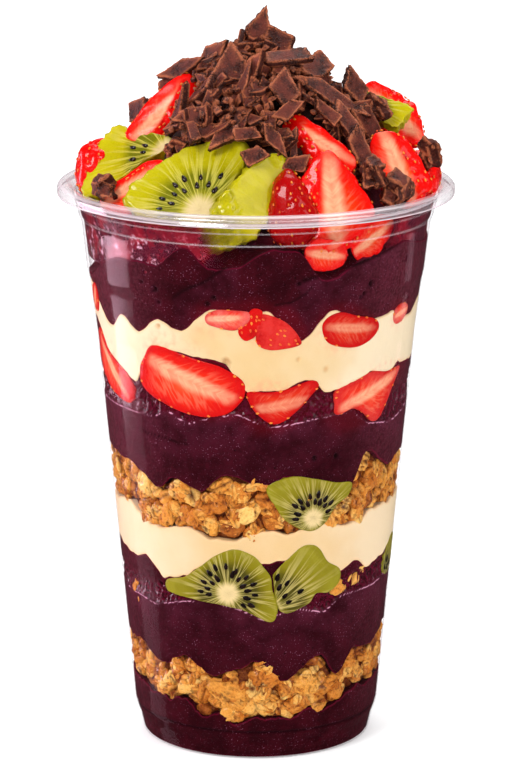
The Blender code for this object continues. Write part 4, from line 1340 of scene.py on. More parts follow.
@dataclass
class CutFruit:
    """One halved strawberry or part of a kiwi slice, with its seeds."""

    piece: WallFruit | Topping
    seed: int
    proud: float = 0
    columns: int = 108
    seed_spacing: float = 2.6

    def grid(self) -> tuple[Array, Array, Array]:
        """Rows by columns of (along, across, behind), share of the outline and skin.

        Returns:
            The places, the shares and the skin values.
        """
        piece = self.piece
        pressed = isinstance(piece, WallFruit)
        share, behind, skin = fruit_rows(piece.depth, piece.fruit == "strawberry")
        outline = piece.outline(self.columns)
        ring = np.concatenate([outline, np.zeros((self.columns, 1))], axis=1)
        uneven = 1 + 0.012 * ripple(ring, 7, self.seed)[:, None]
        middle = outline.mean(axis=0)
        flat = middle + (outline - middle) * uneven * share[:, None, None]
        beyond = piece.skinned(flat[..., 0], flat[..., 1])
        skin = np.maximum(skin[:, None], clamp(beyond / 0.1 + 0.2))
        if pressed and piece.fruit == "strawberry":
            skin = np.maximum(skin, clamp((share - 0.86) / 0.05)[:, None])
        bent = 0 if pressed else 0.5 * piece.reach()[1] * clamp(beyond) ** 2
        return packed(flat[..., 0], flat[..., 1], behind[:, None] + bent), share, skin

    def settled(self, local: Array) -> Array:
        """Points of the fruit at local places of (along, across, behind)."""
        return self.piece.settle(local[..., 0], local[..., 1], local[..., 2], self.proud)

    def skin_seeds(self) -> tuple[Array, Array, Array]:
        """Where the seeds of a strawberry's skin sit: one for each small box of space that it crosses.

        Returns:
            Their places, their outward directions and the directions of their points.
        """
        local, _, skin = self.grid()
        points = self.settled(local)
        normal = outward(points[None])[0]
        ahead = self.settled(local + (0.5, 0, 0)) - points
        boxes = points / self.seed_spacing + self.seed * 0.37
        central = np.abs(boxes - np.floor(boxes) - 0.5).max(axis=-1) < 0.36
        kept = central & (skin > 0.9) & normal.any(axis=-1)
        _, first = np.unique(np.floor(boxes[kept]).astype(int), axis=0, return_index=True)
        return points[kept][first], normal[kept][first], ahead[kept][first]

    def form(self) -> Form:
        """The fruit's grid, gently uneven, with a dimple round each seed of its skin.

        Returns:
            The form.
        """
        piece = self.piece
        on_top = isinstance(piece, Topping)
        local, share, skin = self.grid()
        points = self.settled(local)[None]
        normal = outward(points)
        soft = ripple(points, 6, self.seed) * (0.25 if on_top else 0.015)
        points = points + normal * soft[..., None] * share[None, :, None, None]
        if piece.fruit == "strawberry" and (on_top or piece.whole):
            near = ((points[0][:, :, None] - self.skin_seeds()[0]) ** 2).sum(axis=-1)
            dimple = np.exp(-near / 0.65 ** 2).sum(axis=-1)
            points = points - normal * ((0.3 if on_top else 0.04) * dimple * skin)[None, ..., None]
        if piece.fruit == "kiwi" and on_top:
            points = points + normal * (0.3 * ripple(points, 2.6, self.seed + 3) * skin[None])[..., None]
        if on_top:
            points = held_inside(points)
        half_length, half_width = piece.reach()
        along, across = local[..., 0] - piece.core[0], local[..., 1] - piece.core[1]
        pattern = packed(along / half_length, across / half_width, self.seed % 37)
        return Form(points, {"share": np.minimum(share, 1)[:, None], "skin": skin, "local": pattern[None],
                             "frost": np.array(piece.frost)})

    def kiwi_seeds(self) -> tuple[Array, Array, Array]:
        """Where the black seeds of a kiwi's face sit: two staggered rings round the core.

        Returns:
            Their places, the directions they stand out in and those their tips point in.
        """
        half_length, _ = self.piece.reach()
        core = self.piece.core
        rng = default_rng(self.seed + 900)
        step = np.arange(32)
        turn = (step // 2 + 0.5 * (step % 2)) * math.tau / 16 + rng.uniform(-0.07, 0.07, 32)
        ring = (0.36 + 0.14 * (step % 2) + rng.uniform(-0.04, 0.04, 32)) * half_length
        along, across = core[0] + ring * np.cos(turn), core[1] + ring * np.sin(turn)
        outline = self.piece.outline(self.columns)
        middle = outline.mean(axis=0)
        bearing = np.arctan2(outline[:, 1] - middle[1], outline[:, 0] - middle[0])
        order = np.argsort(bearing)
        edge = np.interp(np.arctan2(across - middle[1], along - middle[0]), bearing[order],
                         np.hypot(*(outline - middle).T)[order], period=math.tau)
        kept = (np.hypot(along - middle[0], across - middle[1]) < edge - 1.2) & (rng.uniform(size=32) < 0.92)
        flat = packed(along, across, np.full(32, -0.05))[kept]
        tips = packed(np.cos(turn), np.sin(turn), np.zeros(32))[kept]
        places = self.settled(flat)
        return places, places - self.settled(flat + UP / 2), self.settled(flat + tips / 2) - places


def seed_form(places: Array, normals: Array, tips: Array, size: tuple[float, float, float],
              seed: int) -> Form:
    """Drop-shaped seeds: balls stretched along their tips and narrowed towards them.

    Args:
        places: middles of the seeds.
        normals: directions they stand out in.
        tips: directions their points look in.
        size: half length, half width and half thickness.
        seed: of the small differences between them.

    Returns:
        All the seeds as one form.
    """
    rng = default_rng(seed)
    out = unit(normals)
    tip = unit(tips - out * (tips * out).sum(axis=1, keepdims=True))
    axes = np.stack([tip, np.cross(out, tip), out], axis=1)
    shape = ball(6, 8) * np.array(size)
    shape = shape * packed(1, 1 - 0.35 * shape[..., 0] / size[0], 1)
    local = shape[None] * rng.uniform(0.85, 1.12, (len(places), 1, 1, 1))
    return Form(carried(local, places, axes))


class FruitBowl:
    """All the fruit: pressed behind the wall, and heaped on top."""

    def __init__(self) -> None:
        """Gather the pieces, each a little further forward than the ones after it."""
        pressed = [*WALL_FRUIT, *(fruit.twin() for fruit in WALL_FRUIT if fruit.name in SEEN_AGAIN_BEHIND)]
        self.pressed = [
            CutFruit(fruit, 20 + step, FRUIT_SINK - 0.006 * step, seed_spacing=2.6 if fruit.whole else 4.2)
            for step, fruit in enumerate(pressed)]
        self.heaped = [CutFruit(fruit, 60 + step) for step, fruit in enumerate(TOPPINGS)]

    def build(self) -> None:
        """Build every fruit, then the seeds of each kind as one piece."""
        open_red = StrawberryFlesh("strawberry_open").material()
        # Darker copies for fruit pressed behind the wall: their duller wet look, and painted shade for the
        # lesser light there
        pressed_shaded_red = StrawberryFlesh(
            "strawberry_pressed", skin=shade(206, 8, 6), rim=shade(214, 18, 6), flesh=shade(230, 48, 16),
            inner=shade(240, 88, 46), rough=0.34, coat=0.15, core_share=0.7).material()
        open_green = KiwiFlesh("kiwi_open").material()
        pressed_shaded_green = KiwiFlesh(
            "kiwi_pressed", ring=shade(74, 68, 10), flesh=shade(128, 118, 12), outer=shade(146, 138, 30),
            ray=shade(196, 180, 104), rough=0.34, coat=0.1).material()
        finishes = {("strawberry", False): open_red, ("strawberry", True): pressed_shaded_red,
                    ("kiwi", False): open_green, ("kiwi", True): pressed_shaded_green}
        black, gold = [], []
        for fruit in (*self.pressed, *self.heaped):
            name, kind = fruit.piece.name, fruit.piece.fruit
            pressed = isinstance(fruit.piece, WallFruit)
            add_piece(name + "_cut", [fruit.form()], finishes[kind, pressed], (name,))
            if kind == "kiwi" and fruit.piece.seeded:
                size = (1.05, 0.56, 0.12 if pressed else 0.4)
                black.append(seed_form(*fruit.kiwi_seeds(), size, fruit.seed))
            elif kind == "strawberry" and fruit.piece.seeded:
                size = (0.42, 0.26, 0.1) if pressed else (0.44, 0.27, 0.2)
                gold.append(seed_form(*fruit.skin_seeds(), size, fruit.seed))
        dark = Seeds("kiwi_seed", shade(34, 16, 10), shade(12, 4, 3)).material()
        light = Seeds("strawberry_seed", shade(244, 140, 34), shade(220, 70, 12), 0.3).material()
        add_piece("kiwi_seeds", black, dark, ())
        add_piece("strawberry_seeds", gold, light, ())


# Layers of pulp and cream

def mirrored(angles: Array) -> Array:
    """Angles round the cup with the back's mirrored onto the front, -90 to 90."""
    turned = (angles + 180) % 360 - 180
    return np.where(np.abs(turned) <= 90, turned, np.copysign(180 - np.abs(turned), turned))


@dataclass(frozen=True)
class Edge:
    """Where two layers meet at the wall: eased from crest to dip, with a fine waver."""

    knots: Knots
    seed: int
    waver: float = 0.3

    def height(self, angles: Array) -> Array:
        """Height at angles: smoothstep between knots, the back mirroring the front, plus small waves.

        Args:
            angles: angles round the cup.

        Returns:
            Heights above the table.
        """
        places, heights = np.array(self.knots, float).T
        folded = np.clip(mirrored(angles), places[0], places[-1])
        step = np.clip(np.searchsorted(places, folded, side="right") - 1, 0, len(places) - 2)
        share = (folded - places[step]) / (places[step + 1] - places[step])
        eased = heights[step] + (heights[step + 1] - heights[step]) * share ** 2 * (3 - 2 * share)
        ring = on_wall(angles, 0, PATTERN_RADIUS)
        return eased + self.waver * (ripple(ring, 6.5, self.seed) + 0.4 * ripple(ring, 2.2, self.seed + 1))


# Edges of the layers at the wall: (angle, height) of their crests and dips, seed and waver
FLOOR = Edge(((-90, 0.4), (90, 0.4)), 1, 0)
BASE_TOP = Edge(((-80, 15.7), (-44, 14), (-36, 14.8), (-24, 11), (-17, 12), (-9, 9.2), (0, 11.5), (16, 11),
    (24, 13.2), (32, 11.5), (49, 15.4), (80, 15.5)), 2, 0.4)
GRANOLA_LOW_TOP = Edge(((-80, 26.5), (-62, 26.7), (-47, 22.7), (-34, 26.2), (-19, 21.7), (0, 26),
    (13, 21.2), (30, 27), (39, 20.5), (50, 27), (61, 25.8), (80, 28.5)), 4, 0.4)
ACAI_LOW_TOP = Edge(((-80, 50.7), (-59, 49), (-52, 50.3), (-42, 46), (-35, 46.3), (-20, 50.6), (-9, 55),
    (1, 52), (12, 52.2), (23, 54.7), (36, 47.9), (47, 49.5), (55, 47), (80, 50.6)), 6)
CREAM_LOW_TOP = Edge(((-80, 61.5), (-62, 63), (-43, 58.4), (-29, 60), (-12, 57), (3, 60.4), (12, 59),
    (26, 60.8), (42, 59.5), (55, 62), (80, 62.5)), 8, 0.35)
GRANOLA_MID_TOP = Edge(((-80, 75), (-58, 73.5), (-41, 69.6), (-34, 72.6), (-22, 69.5), (-12, 74.4),
    (2, 72.3), (13, 73.4), (39, 70), (48, 77.7), (63, 72.4), (80, 74)), 10, 0.35)
ACAI_MID_TOP = Edge(((-80, 107), (-61, 98.5), (-50, 95), (-39, 105.5), (-13, 103), (-2, 95.5), (7, 95.4),
    (18, 98), (29, 94.4), (47, 97.7), (55, 95.5), (63, 98), (80, 97)), 12)
CREAM_HIGH_TOP = Edge(((-80, 116), (-62, 107.7), (-54, 111), (-45, 108.5), (-36, 112), (-27, 110),
    (-15, 116), (3, 115.7), (15, 108), (27, 114.7), (46, 111.3), (55, 112.2), (68, 109.3), (80, 112)
    ), 14, 0.25)
ACAI_TOP_TOP = Edge(((-80, 118), (-53, 125.7), (-35, 126), (-24, 131), (-15, 126), (-8, 126.3), (5, 131),
    (12, 130.5), (24, 122.5), (38, 127), (56, 129.5), (80, 127)), 16, 0.22)


@dataclass(frozen=True)
class Crease:
    """A line of (angle, height) that marks the pulp at the wall.

    It is a groove, darkened by painted shade, with a pale hazy strip below it that is partly painted
    sheen. With a reach it is the lower edge of a wet fold, which stands back from the wall, rumpled,
    up to that height above the line, with a painted highlight along its lip.
    """

    line: Knots
    depth: float = 0.5
    width: float = 0.45
    haze: float = 0.6
    reach: float = 0


@dataclass(frozen=True)
class Pit:
    """A bubble against the wall."""

    angle: float
    height: float
    radius: float
    depth: float = 1


@dataclass(frozen=True)
class Layer:
    """One layer of pulp or cream, from its lower edge to its upper one."""

    name: str
    slot: str
    lower: Edge
    upper: Edge
    seed: int
    rows: int = 72
    steps: int = 528
    creases: tuple[Crease, ...] = ()
    pits: tuple = ()
    loose_pits: int = 0
    domed: bool = False
    lift: float = 0

    def wall_rows(self) -> tuple[Array, Array, Array]:
        """Angles and heights on the wall, closest near the edges, and the distance to the nearer edge.

        Returns:
            The angles, the heights and the distances.
        """
        angles = np.arange(self.steps) * 360 / self.steps
        low, high = self.lower.height(angles), self.upper.height(angles)
        share = 0.5 - 0.5 * np.cos(math.pi * np.linspace(0, 1, self.rows))[:, None]
        heights = low + (high - low) * share
        return np.broadcast_to(angles, heights.shape), heights, np.minimum(heights - low, high - heights)

    def all_pits(self) -> list[Pit]:
        """The placed bubbles and some scattered ones.

        Returns:
            The pits.
        """
        rng = default_rng(self.seed)
        angles = rng.uniform(-180, 180, self.loose_pits)
        low, high = self.lower.height(angles) + 2.5, self.upper.height(angles) - 2.5
        heights = low + (high - low) * rng.uniform(0, 1, self.loose_pits)
        radii = rng.uniform(0.3, 0.6, self.loose_pits)
        return [Pit(*spot) for spot in (*self.pits, *zip(angles, heights, radii, radii * 0.8))]

    def relief(self, angles: Array, heights: Array) -> tuple[Array, dict[str, Array]]:
        """Depth below the wall, and crease (painted shade), haze (pale haze, partly painted sheen, and
        painted highlights) and wet values, over the wall's points.

        Args:
            angles: angles of the points.
            heights: their heights.

        Returns:
            The depths, and the values by name.
        """
        depth, lines, haze, wet = (np.zeros(heights.shape) for _ in range(4))
        wall = on_wall(angles, heights, PATTERN_RADIUS)
        rumple = 0.6 + 0.3 * ripple(wall, 2.8, self.seed + 7) + 0.25 * ripple(wall, 1.4, self.seed + 8)
        rumple = np.maximum(rumple, 0.15)
        turned = mirrored(angles)
        for crease in self.creases:
            spots, levels = np.array(crease.line, float).T
            level = np.interp(turned, spots, levels)
            ahead, back = (np.interp(turned + half, spots, levels) for half in (0.5, -0.5))
            near = (heights - level) / np.sqrt(1 + ((ahead - back) / 0.72) ** 2)
            ends = clamp((turned - spots[0]) / 1.5) * clamp((spots[-1] - turned) / 1.5)
            groove = np.exp(-(near / crease.width) ** 2) * ends
            if crease.reach:
                inside = clamp(near / 0.35) * np.exp(-np.maximum(near - crease.reach, 0) / 1) * ends
                depth += crease.depth * inside * rumple
                wet = np.maximum(wet, inside)
                # Painted highlight: a thin pale line along the fold's lip
                haze = np.maximum(haze, np.exp(-((near + 0.25) / 0.4) ** 2) * ends)
            else:
                depth += crease.depth * groove
                # Grooves marked for darkening: painted shade
                lines = np.maximum(lines, groove)
            # A pale hazy strip below each crease, partly painted sheen
            below = clamp(-near / 0.5) * np.exp(-np.maximum(-near, 0) / 7)
            haze = np.maximum(haze, below * ends * crease.haze)
        for pit in self.all_pits():
            away = (angles - pit.angle + 180) % 360 - 180
            near = np.hypot(np.radians(away) * BUBBLE_RADIUS, heights - pit.height)
            hole = np.exp(-(near / pit.radius) ** 4)
            depth += pit.depth * hole
            # Bubbles darkened by painted shade, ringed by a painted highlight
            lines = np.maximum(lines, hole)
            haze = np.maximum(haze, 0.35 * np.exp(-((near - pit.radius * 1.2) / 0.3) ** 2))
        return depth, {"crease": lines, "haze": haze, "wet": wet}

    def form(self, berries: list[WallFruit]) -> Form:
        """Wall, upper and lower faces as one closed grid.

        Args:
            berries: the strawberries whose juice stains the layer.

        Returns:
            The form, with rim, crease, haze, wet and juice values; crease is painted shade, and haze partly
            painted sheen and highlights.
        """
        angles, heights, rim = self.wall_rows()
        depth, values = self.relief(angles, heights)
        soft = 0.02 * ripple(on_wall(angles, heights, PATTERN_RADIUS), 5, self.seed + 3)
        radius = inner_radius(heights) + LAYER_SINK - depth + soft
        radius -= 0.25 * clamp(1 - rim / 0.4) ** 2
        juice = np.zeros(heights.shape)
        for berry in berries:
            juice = np.maximum(juice, np.exp(-(np.maximum(berry.gap(angles, heights), 0) / 1.5) ** 2))
        wall = on_wall(angles, heights, radius)
        under = self.cap(angles[0], heights[0], radius[0], np.array([0, 0.35, 0.7, 0.85, 0.985]))
        shares = np.concatenate([[0.985, 0.96], np.linspace(0.93, 0, 22)]) if self.domed else None
        over = self.cap(angles[0], heights[-1], radius[-1],
                        np.array([0.985, 0.93, 0.7, 0.35, 0]) if shares is None else shares)
        padding = ((len(under), len(over)), (0, 0))
        padded = {key: np.pad(grid, padding, constant_values=fill)
                  for key, grid, fill in (("rim", rim, 3), ("juice", juice, 0.15),
                                          *((key, grid, 0) for key, grid in values.items()))}
        return Form(np.concatenate([under, wall, over])[None], padded)

    def cap(self, ring: Array, height: Array, radius: Array, shares: Array) -> Array:
        """Rows of the upper or lower face: flatter towards the middle, or heaped up to it.

        Args:
            ring: angles round the cup.
            height: heights of the face's rim there.
            radius: radii of the rim there.
            shares: share of the radius for each row.

        Returns:
            Rows of points.
        """
        middle = height.mean()
        share = shares[:, None]
        domed = len(shares) > 5
        level = middle + (height - middle) * share ** 2
        if domed:
            level = level - middle + np.interp(share, [0, 0.3, 0.55, 0.75, 0.86, 0.96, 1],
                                               [149, 147.6, 143, 135, middle + 2, middle + 0.5, middle])
        elif shares[0] == 0:
            level = level + self.lift * clamp((1 - share) / 0.15)
        points = on_wall(ring, level, radius * share)
        waves = ripple(points, 9, self.seed + 5) * (1.2 if domed else 0.2) * clamp((1 - share) * 6)
        return points + (waves * (self.lift == 0))[..., None] * UP


class Layers:
    """Pulp and cream from the floor to the dome under the toppings."""

    def stack(self) -> list[Layer]:
        """The six layers with what marks each.

        Returns:
            The layers.
        """
        heel = (Crease(((-92, 7.4), (92, 7.4)), 0.4, 0.35, 0),)
        low_fold = (
            Crease(((-92, 40), (-59, 39.2), (-48, 38.3), (-32, 40.9), (-18, 41.6), (-7, 40.2), (3, 37.3),
                    (16, 40.1), (30, 38.2), (39, 41.7), (61, 42), (92, 45)), 0.7, haze=0.5, reach=4.5),
        )
        middle_folds = (
            Crease(((-49.5, 82.7), (-38, 82.3), (-25.5, 81.3)), 0.25, 0.3, 0.3),
            Crease(((-92, 87.8), (-43, 87.5), (-33, 89.2), (-26, 86.9), (-17, 88.8), (-7, 90.2), (5, 86.7),
                    (21, 88.3), (38, 89.1), (46, 85.2), (61, 83.7), (92, 87)), 0.9, haze=0.5, reach=6),
        )
        top_folds = (
            Crease(((14.2, 122.9), (21.3, 124), (29.1, 125), (41, 126.9), (55.6, 129.5)), 0.5, 0.5, 0.5),
            Crease(((-29.2, 118), (-24.1, 120.4), (-16.9, 122.8), (-11, 126), (-5.1, 128.1)), 0.35, 0.4,
                   0.3),
            Crease(((5.3, 117.2), (11.4, 117.9), (16.4, 119.8), (20, 122.6)), 0.2, 0.3, 0.15),
        )
        top_pits = ((-35.8, 119.7, 0.75), (41.8, 120.6, 0.8), (-16.5, 117.3, 0.75), (-14, 118.9, 0.7),
                    (14.2, 122.3, 0.55), (59.5, 124.8, 0.6), (39, 118.4, 0.55), (37.6, 117.6, 0.45),
                    (-39.4, 123.6, 0.45), (-41.3, 121, 0.4))
        middle_pits = ((22.7, 78.1, 0.7), (32.1, 78, 0.8))
        return [
            Layer("acai_base", "acai", FLOOR, BASE_TOP, 31, rows=60, loose_pits=2, creases=heel, lift=0.7),
            Layer("acai_low", "acai", GRANOLA_LOW_TOP, ACAI_LOW_TOP, 32, loose_pits=3, creases=low_fold),
            Layer("cream_low", "cream", ACAI_LOW_TOP, CREAM_LOW_TOP, 33, rows=48),
            Layer("acai_mid", "acai", GRANOLA_MID_TOP, ACAI_MID_TOP, 34, loose_pits=4, pits=middle_pits,
                  creases=middle_folds),
            Layer("cream_high", "cream", ACAI_MID_TOP, CREAM_HIGH_TOP, 35, rows=56,
                  pits=((-36, 110.5, 0.6, 0.8), (15, 103.5, 0.5, 0.4), (46, 108.5, 0.6, 0.4),
                        (25.5, 100.5, 0.7, 0.4), (-10.5, 103, 1, 0.9))),
            Layer("acai_top", "acai", CREAM_HIGH_TOP, ACAI_TOP_TOP, 36, loose_pits=5, pits=top_pits,
                  creases=top_folds, domed=True),
        ]

    def build(self) -> None:
        """Build every layer."""
        berries = [fruit for fruit in WALL_FRUIT if fruit.fruit == "strawberry"]
        berries += [fruit.twin() for fruit in berries if fruit.name in SEEN_AGAIN_BEHIND]
        pulp = AcaiPulp("acai_pulp").material()
        cream = VanillaCream("vanilla_cream").material()
        for layer in self.stack():
            finish = pulp if layer.slot == "acai" else cream
            add_piece(layer.name + "_fill", [layer.form(berries)], finish, (layer.name,))


# Granola

class Oat(Enum):
    """Kinds of granola piece."""

    CLUSTER = 0
    FLAKE = 1
    SPOTTED = 2
    DARK = 3


@dataclass
class Flakes:
    """Many pieces of granola at once, each an uneven ball flattened against the wall."""

    angle: Array
    height: Array
    size: Array
    tilt: Array
    kind: Array
    inset: Array
    sink: Array
    seed: int
    rows: int
    columns: int

    def form(self) -> Form:
        """The pieces as one form.

        A ball's radius is swollen by coarse and fine ripples; a flake is pinched along its
        middle by 1 - 0.5 exp(-(y / 0.16)^2) of its thickness.

        Returns:
            The form.
        """
        rng = default_rng(self.seed)
        count = len(self.angle)
        unit = np.broadcast_to(ball(self.rows, self.columns), (count, self.rows, self.columns, 3))
        spread = unit * self.size[:, None, None] + rng.uniform(-500, 500, (count, 1, 1, 3))
        lumpy = np.where(self.kind == Oat.FLAKE.value, 0.55, 1)[:, None, None]
        waves = enumerate((4.2, 1.8, 1))
        coarse, fine, crisp = (ripple(spread, wave, self.seed + step) for step, wave in waves)
        swell = 1 + lumpy * (0.09 * coarse + 0.07 * fine + 0.05 * crisp)
        is_flake = np.isin(self.kind, (Oat.FLAKE.value, Oat.SPOTTED.value)).astype(float)[:, None, None]
        pinch = 1 - 0.5 * is_flake * np.exp(-(unit[..., 1] / 0.16) ** 2)
        local = unit * self.size[:, None, None] * swell[..., None]
        local[..., 2] *= pinch
        axes = facing(self.angle + rng.uniform(-16, 16, count), rng.uniform(-14, 14, count), 90 - self.tilt)
        radius = inner_radius(self.height) - self.size[:, 2] * 0.75 - self.inset
        points = carried(local, on_wall(self.angle, self.height, radius), axes)
        reach = np.hypot(points[..., 0], points[..., 1])
        share = np.minimum((inner_radius(points[..., 2]) + self.sink[:, None, None]) / reach, 1)
        points = drawn_in(points, share)
        middle = np.exp(-((unit[..., 0] / 0.4) ** 2 + (unit[..., 1] / 0.35) ** 2)) * (unit[..., 2] > 0)
        spotted = np.isin(self.kind, (Oat.SPOTTED.value, Oat.DARK.value)).astype(float)[:, None, None]
        # hollow marks dents and a flake's pinched middle, darkened by painted shade in the finish
        hollow = clamp(-0.7 * coarse - 0.8 * fine - 0.6 * crisp - 0.35)
        hollow = np.maximum(hollow, (1 - pinch) * 1.3)
        # Pieces set further behind the wall get a darker tone: painted shade
        tone = rng.uniform(0.25, 1, count) - 0.25 * clamp(self.inset / 3)
        values = {"tone": np.where(self.kind == Oat.DARK.value, 0.15, tone)[:, None, None],
                  "hollow": clamp(hollow), "spot": middle * spotted * 0.9}
        return Form(points, values)


# Granola that shows at the front: angle, height, width, tallness, tilt, kind, and 1 where it lies over fruit
LOW_FLAKES = (
    (-58, 21, 4, 6.5, -10, 1, 0), (-39, 23, 4, 4, 0, 0, 0), (-28, 23.5, 6, 4.5, -20, 1, 0),
    (-50, 16.5, 4, 6.5, -20, 0, 0), (-32, 18.5, 7, 4.5, 25, 0, 0), (-14, 16, 10.5, 9, -40, 0, 0),
    (5, 22, 7.5, 5, -10, 0, 0), (5, 15.5, 6.5, 8, 20, 1, 0), (24, 19.5, 7, 7.5, 60, 0, 0),
    (48, 22.5, 4, 7.5, 60, 0, 0), (64, 22, 4, 6.5, 70, 0, 0), (20, 14.5, 6.5, 4.5, 20, 0, 0),
    (31, 14, 5, 4.5, 0, 2, 0), (-10, 12, 6, 4, -10, 0, 0), (4, 25, 3, 2.5, 0, 3, 0),
    (-77, 22.5, 3, 5.5, -20, 0, 0), (38, 18.5, 4.5, 4, 30, 0, 0), (-44, 19, 4.5, 3.5, 10, 0, 0),
    (55, 18.5, 4.5, 3.5, 60, 1, 0), (14, 18.5, 3.5, 4.5, 0, 0, 0), (-2, 19, 3.5, 4.5, 0, 2, 0),
)
MID_FLAKES = (
    (-52, 68.5, 6, 8, -25, 0, 0), (-40, 63, 7, 7, -30, 0, 0), (-31, 69.5, 4.5, 5.5, -10, 1, 0),
    (-19, 66.5, 9, 5.5, 5, 1, 0), (-7, 69.5, 6, 5.5, 10, 0, 0), (-22, 62, 8, 5.5, -20, 0, 0),
    (-4, 65, 7, 5.5, 30, 0, 0), (6, 68, 7, 4.5, -5, 2, 1), (8, 63, 6, 5.5, 0, 1, 1),
    (-10, 61.5, 5.5, 5.5, 0, 3, 0), (-1, 59.5, 4, 3.5, 0, 0, 0), (-65, 66, 3.5, 7, -15, 0, 0),
    (-75, 69.5, 3, 5, -20, 0, 0), (-51, 62.5, 3.5, 5.5, -25, 0, 0), (1, 72, 4.5, 3, -20, 1, 0),
    (48, 75, 4, 5, -15, 2, 1), (53, 70.5, 5.5, 7.5, -20, 0, 1), (46, 63, 4, 7.5, -20, 0, 1),
    (33, 62, 6, 5, 20, 0, 1), (70, 69, 3, 5.5, 0, 0, 0), (74, 71.5, 3, 4.5, -10, 1, 0),
    (74, 64.5, 3, 5, 0, 0, 0), (65, 64, 3, 5, -10, 0, 0), (60, 67, 3, 5, 0, 2, 0),
)


def laid(rows: tuple, thickness: tuple[float, float], sink: Array, seed: int) -> Flakes:
    """Granola from a table.

    Args:
        rows: each piece's angle, height, width, tallness, tilt and kind.
        thickness: least and greatest half thickness.
        sink: how far each reaches into the wall.
        seed: of their lumps.

    Returns:
        The flakes.
    """
    table = np.array(rows, float)
    size = packed(table[:, 2] * 0.54, table[:, 3] * 0.54, np.clip(table[:, 3] * 0.27, *thickness))
    return Flakes(table[:, 0], table[:, 1], size, table[:, 4], table[:, 5].astype(int), 0 * sink, sink,
                  seed, 20, 32)


@dataclass(frozen=True)
class GranolaBand:
    """A layer of granola: the pieces that the photograph shows, more all round, and a dark heart behind,
    painted shade where gaps between pieces show.
    """

    name: str
    lower: Edge
    upper: Edge
    shown: tuple
    seed: int
    large: int = 100
    small: int = 300

    def scattered(self, count: int, big: bool) -> Flakes:
        """Seeded pieces all round the band, large ones clear of the shown ones.

        Args:
            count: how many to spread.
            big: large ones at the wall, or small ones a little behind it.

        Returns:
            The flakes.
        """
        rng = default_rng(self.seed + big)
        step = np.arange(count)
        angle = (step * 205.1425 + rng.uniform(-4, 4, count)) % 360 - 180
        low, high = self.lower.height(angle), self.upper.height(angle)
        margin = 2 if big else 0.6
        height = low + margin + (high - low - 2 * margin) * ((step + 0.5) * 0.754878 % 1)
        if big:
            shown = np.array(self.shown, float)
            away = (angle[:, None] - shown[:, 0] + 180) % 360 - 180
            reach = np.hypot(np.radians(away) * GRANOLA_RADIUS, height[:, None] - shown[:, 1])
            kept = ~(reach < shown[:, 2:4].mean(axis=1) * 0.62).any(axis=1)
            angle, height = angle[kept], height[kept]
            size = rng.uniform((2.5, 2, 1.3), (3.9, 3, 1.9), (len(angle), 3))
            inset = rng.uniform(0, 0.35, len(angle))
        else:
            size = rng.uniform((1.2, 1, 0.8), (2.5, 2, 1.4), (count, 3))
            inset = rng.uniform(0, 1.3, count)
        kind = rng.choice([0, 0, 1, 1, 1, 2, 3], len(angle))
        tilt = rng.uniform(-90, 90, len(angle))
        sink = np.full(len(angle), FLAKE_SINK)
        grid = (13, 20) if big else (9, 14)
        return Flakes(angle, height, size, tilt, kind, inset, sink, self.seed + 20 + big, *grid)

    def placed(self) -> Flakes:
        """The pieces that the photograph shows.

        Returns:
            The pieces.
        """
        over_fruit = np.array([row[6] for row in self.shown])
        sink = np.where(over_fruit, FRUIT_SINK + 0.04, FLAKE_SINK)
        return laid(self.shown, (1.1, 1.9), sink, self.seed + 40)

    def crust(self) -> Flakes:
        """Small oat flakes baked onto the pieces that the photograph shows, five to each.

        Returns:
            The flakes.
        """
        rng = default_rng(self.seed + 5)
        table = np.array([row for row in self.shown if row[5] != Oat.SPOTTED.value], float)
        owner = np.repeat(table, 5, axis=0)
        count = len(owner)
        bearing = np.arange(count) * math.tau / 5 + rng.uniform(-0.6, 0.6, count)
        away = rng.uniform(0.2, 0.36, count)
        angle = owner[:, 0] + np.degrees(away * owner[:, 2] * np.cos(bearing) / CRUST_RADIUS)
        height = owner[:, 1] + away * owner[:, 3] * np.sin(bearing)
        size = rng.uniform((1.4, 0.9, 0.6), (2.3, 1.5, 0.9), (count, 3))
        sink = np.where(owner[:, 6] > 0, FRUIT_SINK + 0.05, FLAKE_SINK + 0.03)
        return Flakes(angle, height, size, rng.uniform(-90, 90, count), np.full(count, Oat.FLAKE.value),
                      np.full(count, -0.25), sink, self.seed + 50, 9, 14)

    def heart(self) -> Form:
        """The dark middle, a lumpy drum between the edges, coloured as painted shade for the gaps between
        pieces.

        Returns:
            The form.
        """
        angles = np.arange(180) * 2
        low, high = self.lower.height(angles) + 0.3, self.upper.height(angles) - 0.3
        share = np.linspace(0, 1, 12)[:, None]
        heights = low + (high - low) * share
        wall = on_wall(angles, heights, inner_radius(heights) - 1.2)
        wall = drawn_in(wall, 1 + 0.012 * ripple(wall, 3.4, self.seed + 60))
        rows = [UP * wall[0].mean(axis=0) + 0 * wall[:1], wall, UP * wall[-1].mean(axis=0) + 0 * wall[:1]]
        # Darkest tone and deep hollow: painted shade where the heart shows between pieces
        values = {"tone": np.array(0.05), "hollow": np.array(0.85), "spot": np.array(0)}
        return Form(np.concatenate(rows)[None], values)

    def build(self, finish: Material) -> None:
        """Build the band as one piece.

        Args:
            finish: material of the oats.
        """
        loose = (self.scattered(self.large, True), self.scattered(self.small, False))
        forms = [self.heart(), *(flakes.form() for flakes in (self.placed(), self.crust(), *loose))]
        add_piece(self.name + "_oats", forms, finish, (self.name,))


@dataclass(frozen=True)
class GranolaScrap:
    """A few loose bits of granola in the pulp, in front of it at the wall."""

    name: str
    bits: tuple
    seed: int

    def build(self, finish: Material) -> None:
        """Build the scrap as one piece."""
        flakes = laid(self.bits, (1.2, 1.2), np.full(len(self.bits), FRUIT_SINK), self.seed)
        add_piece(self.name + "_oats", [flakes.form()], finish, (self.name,))


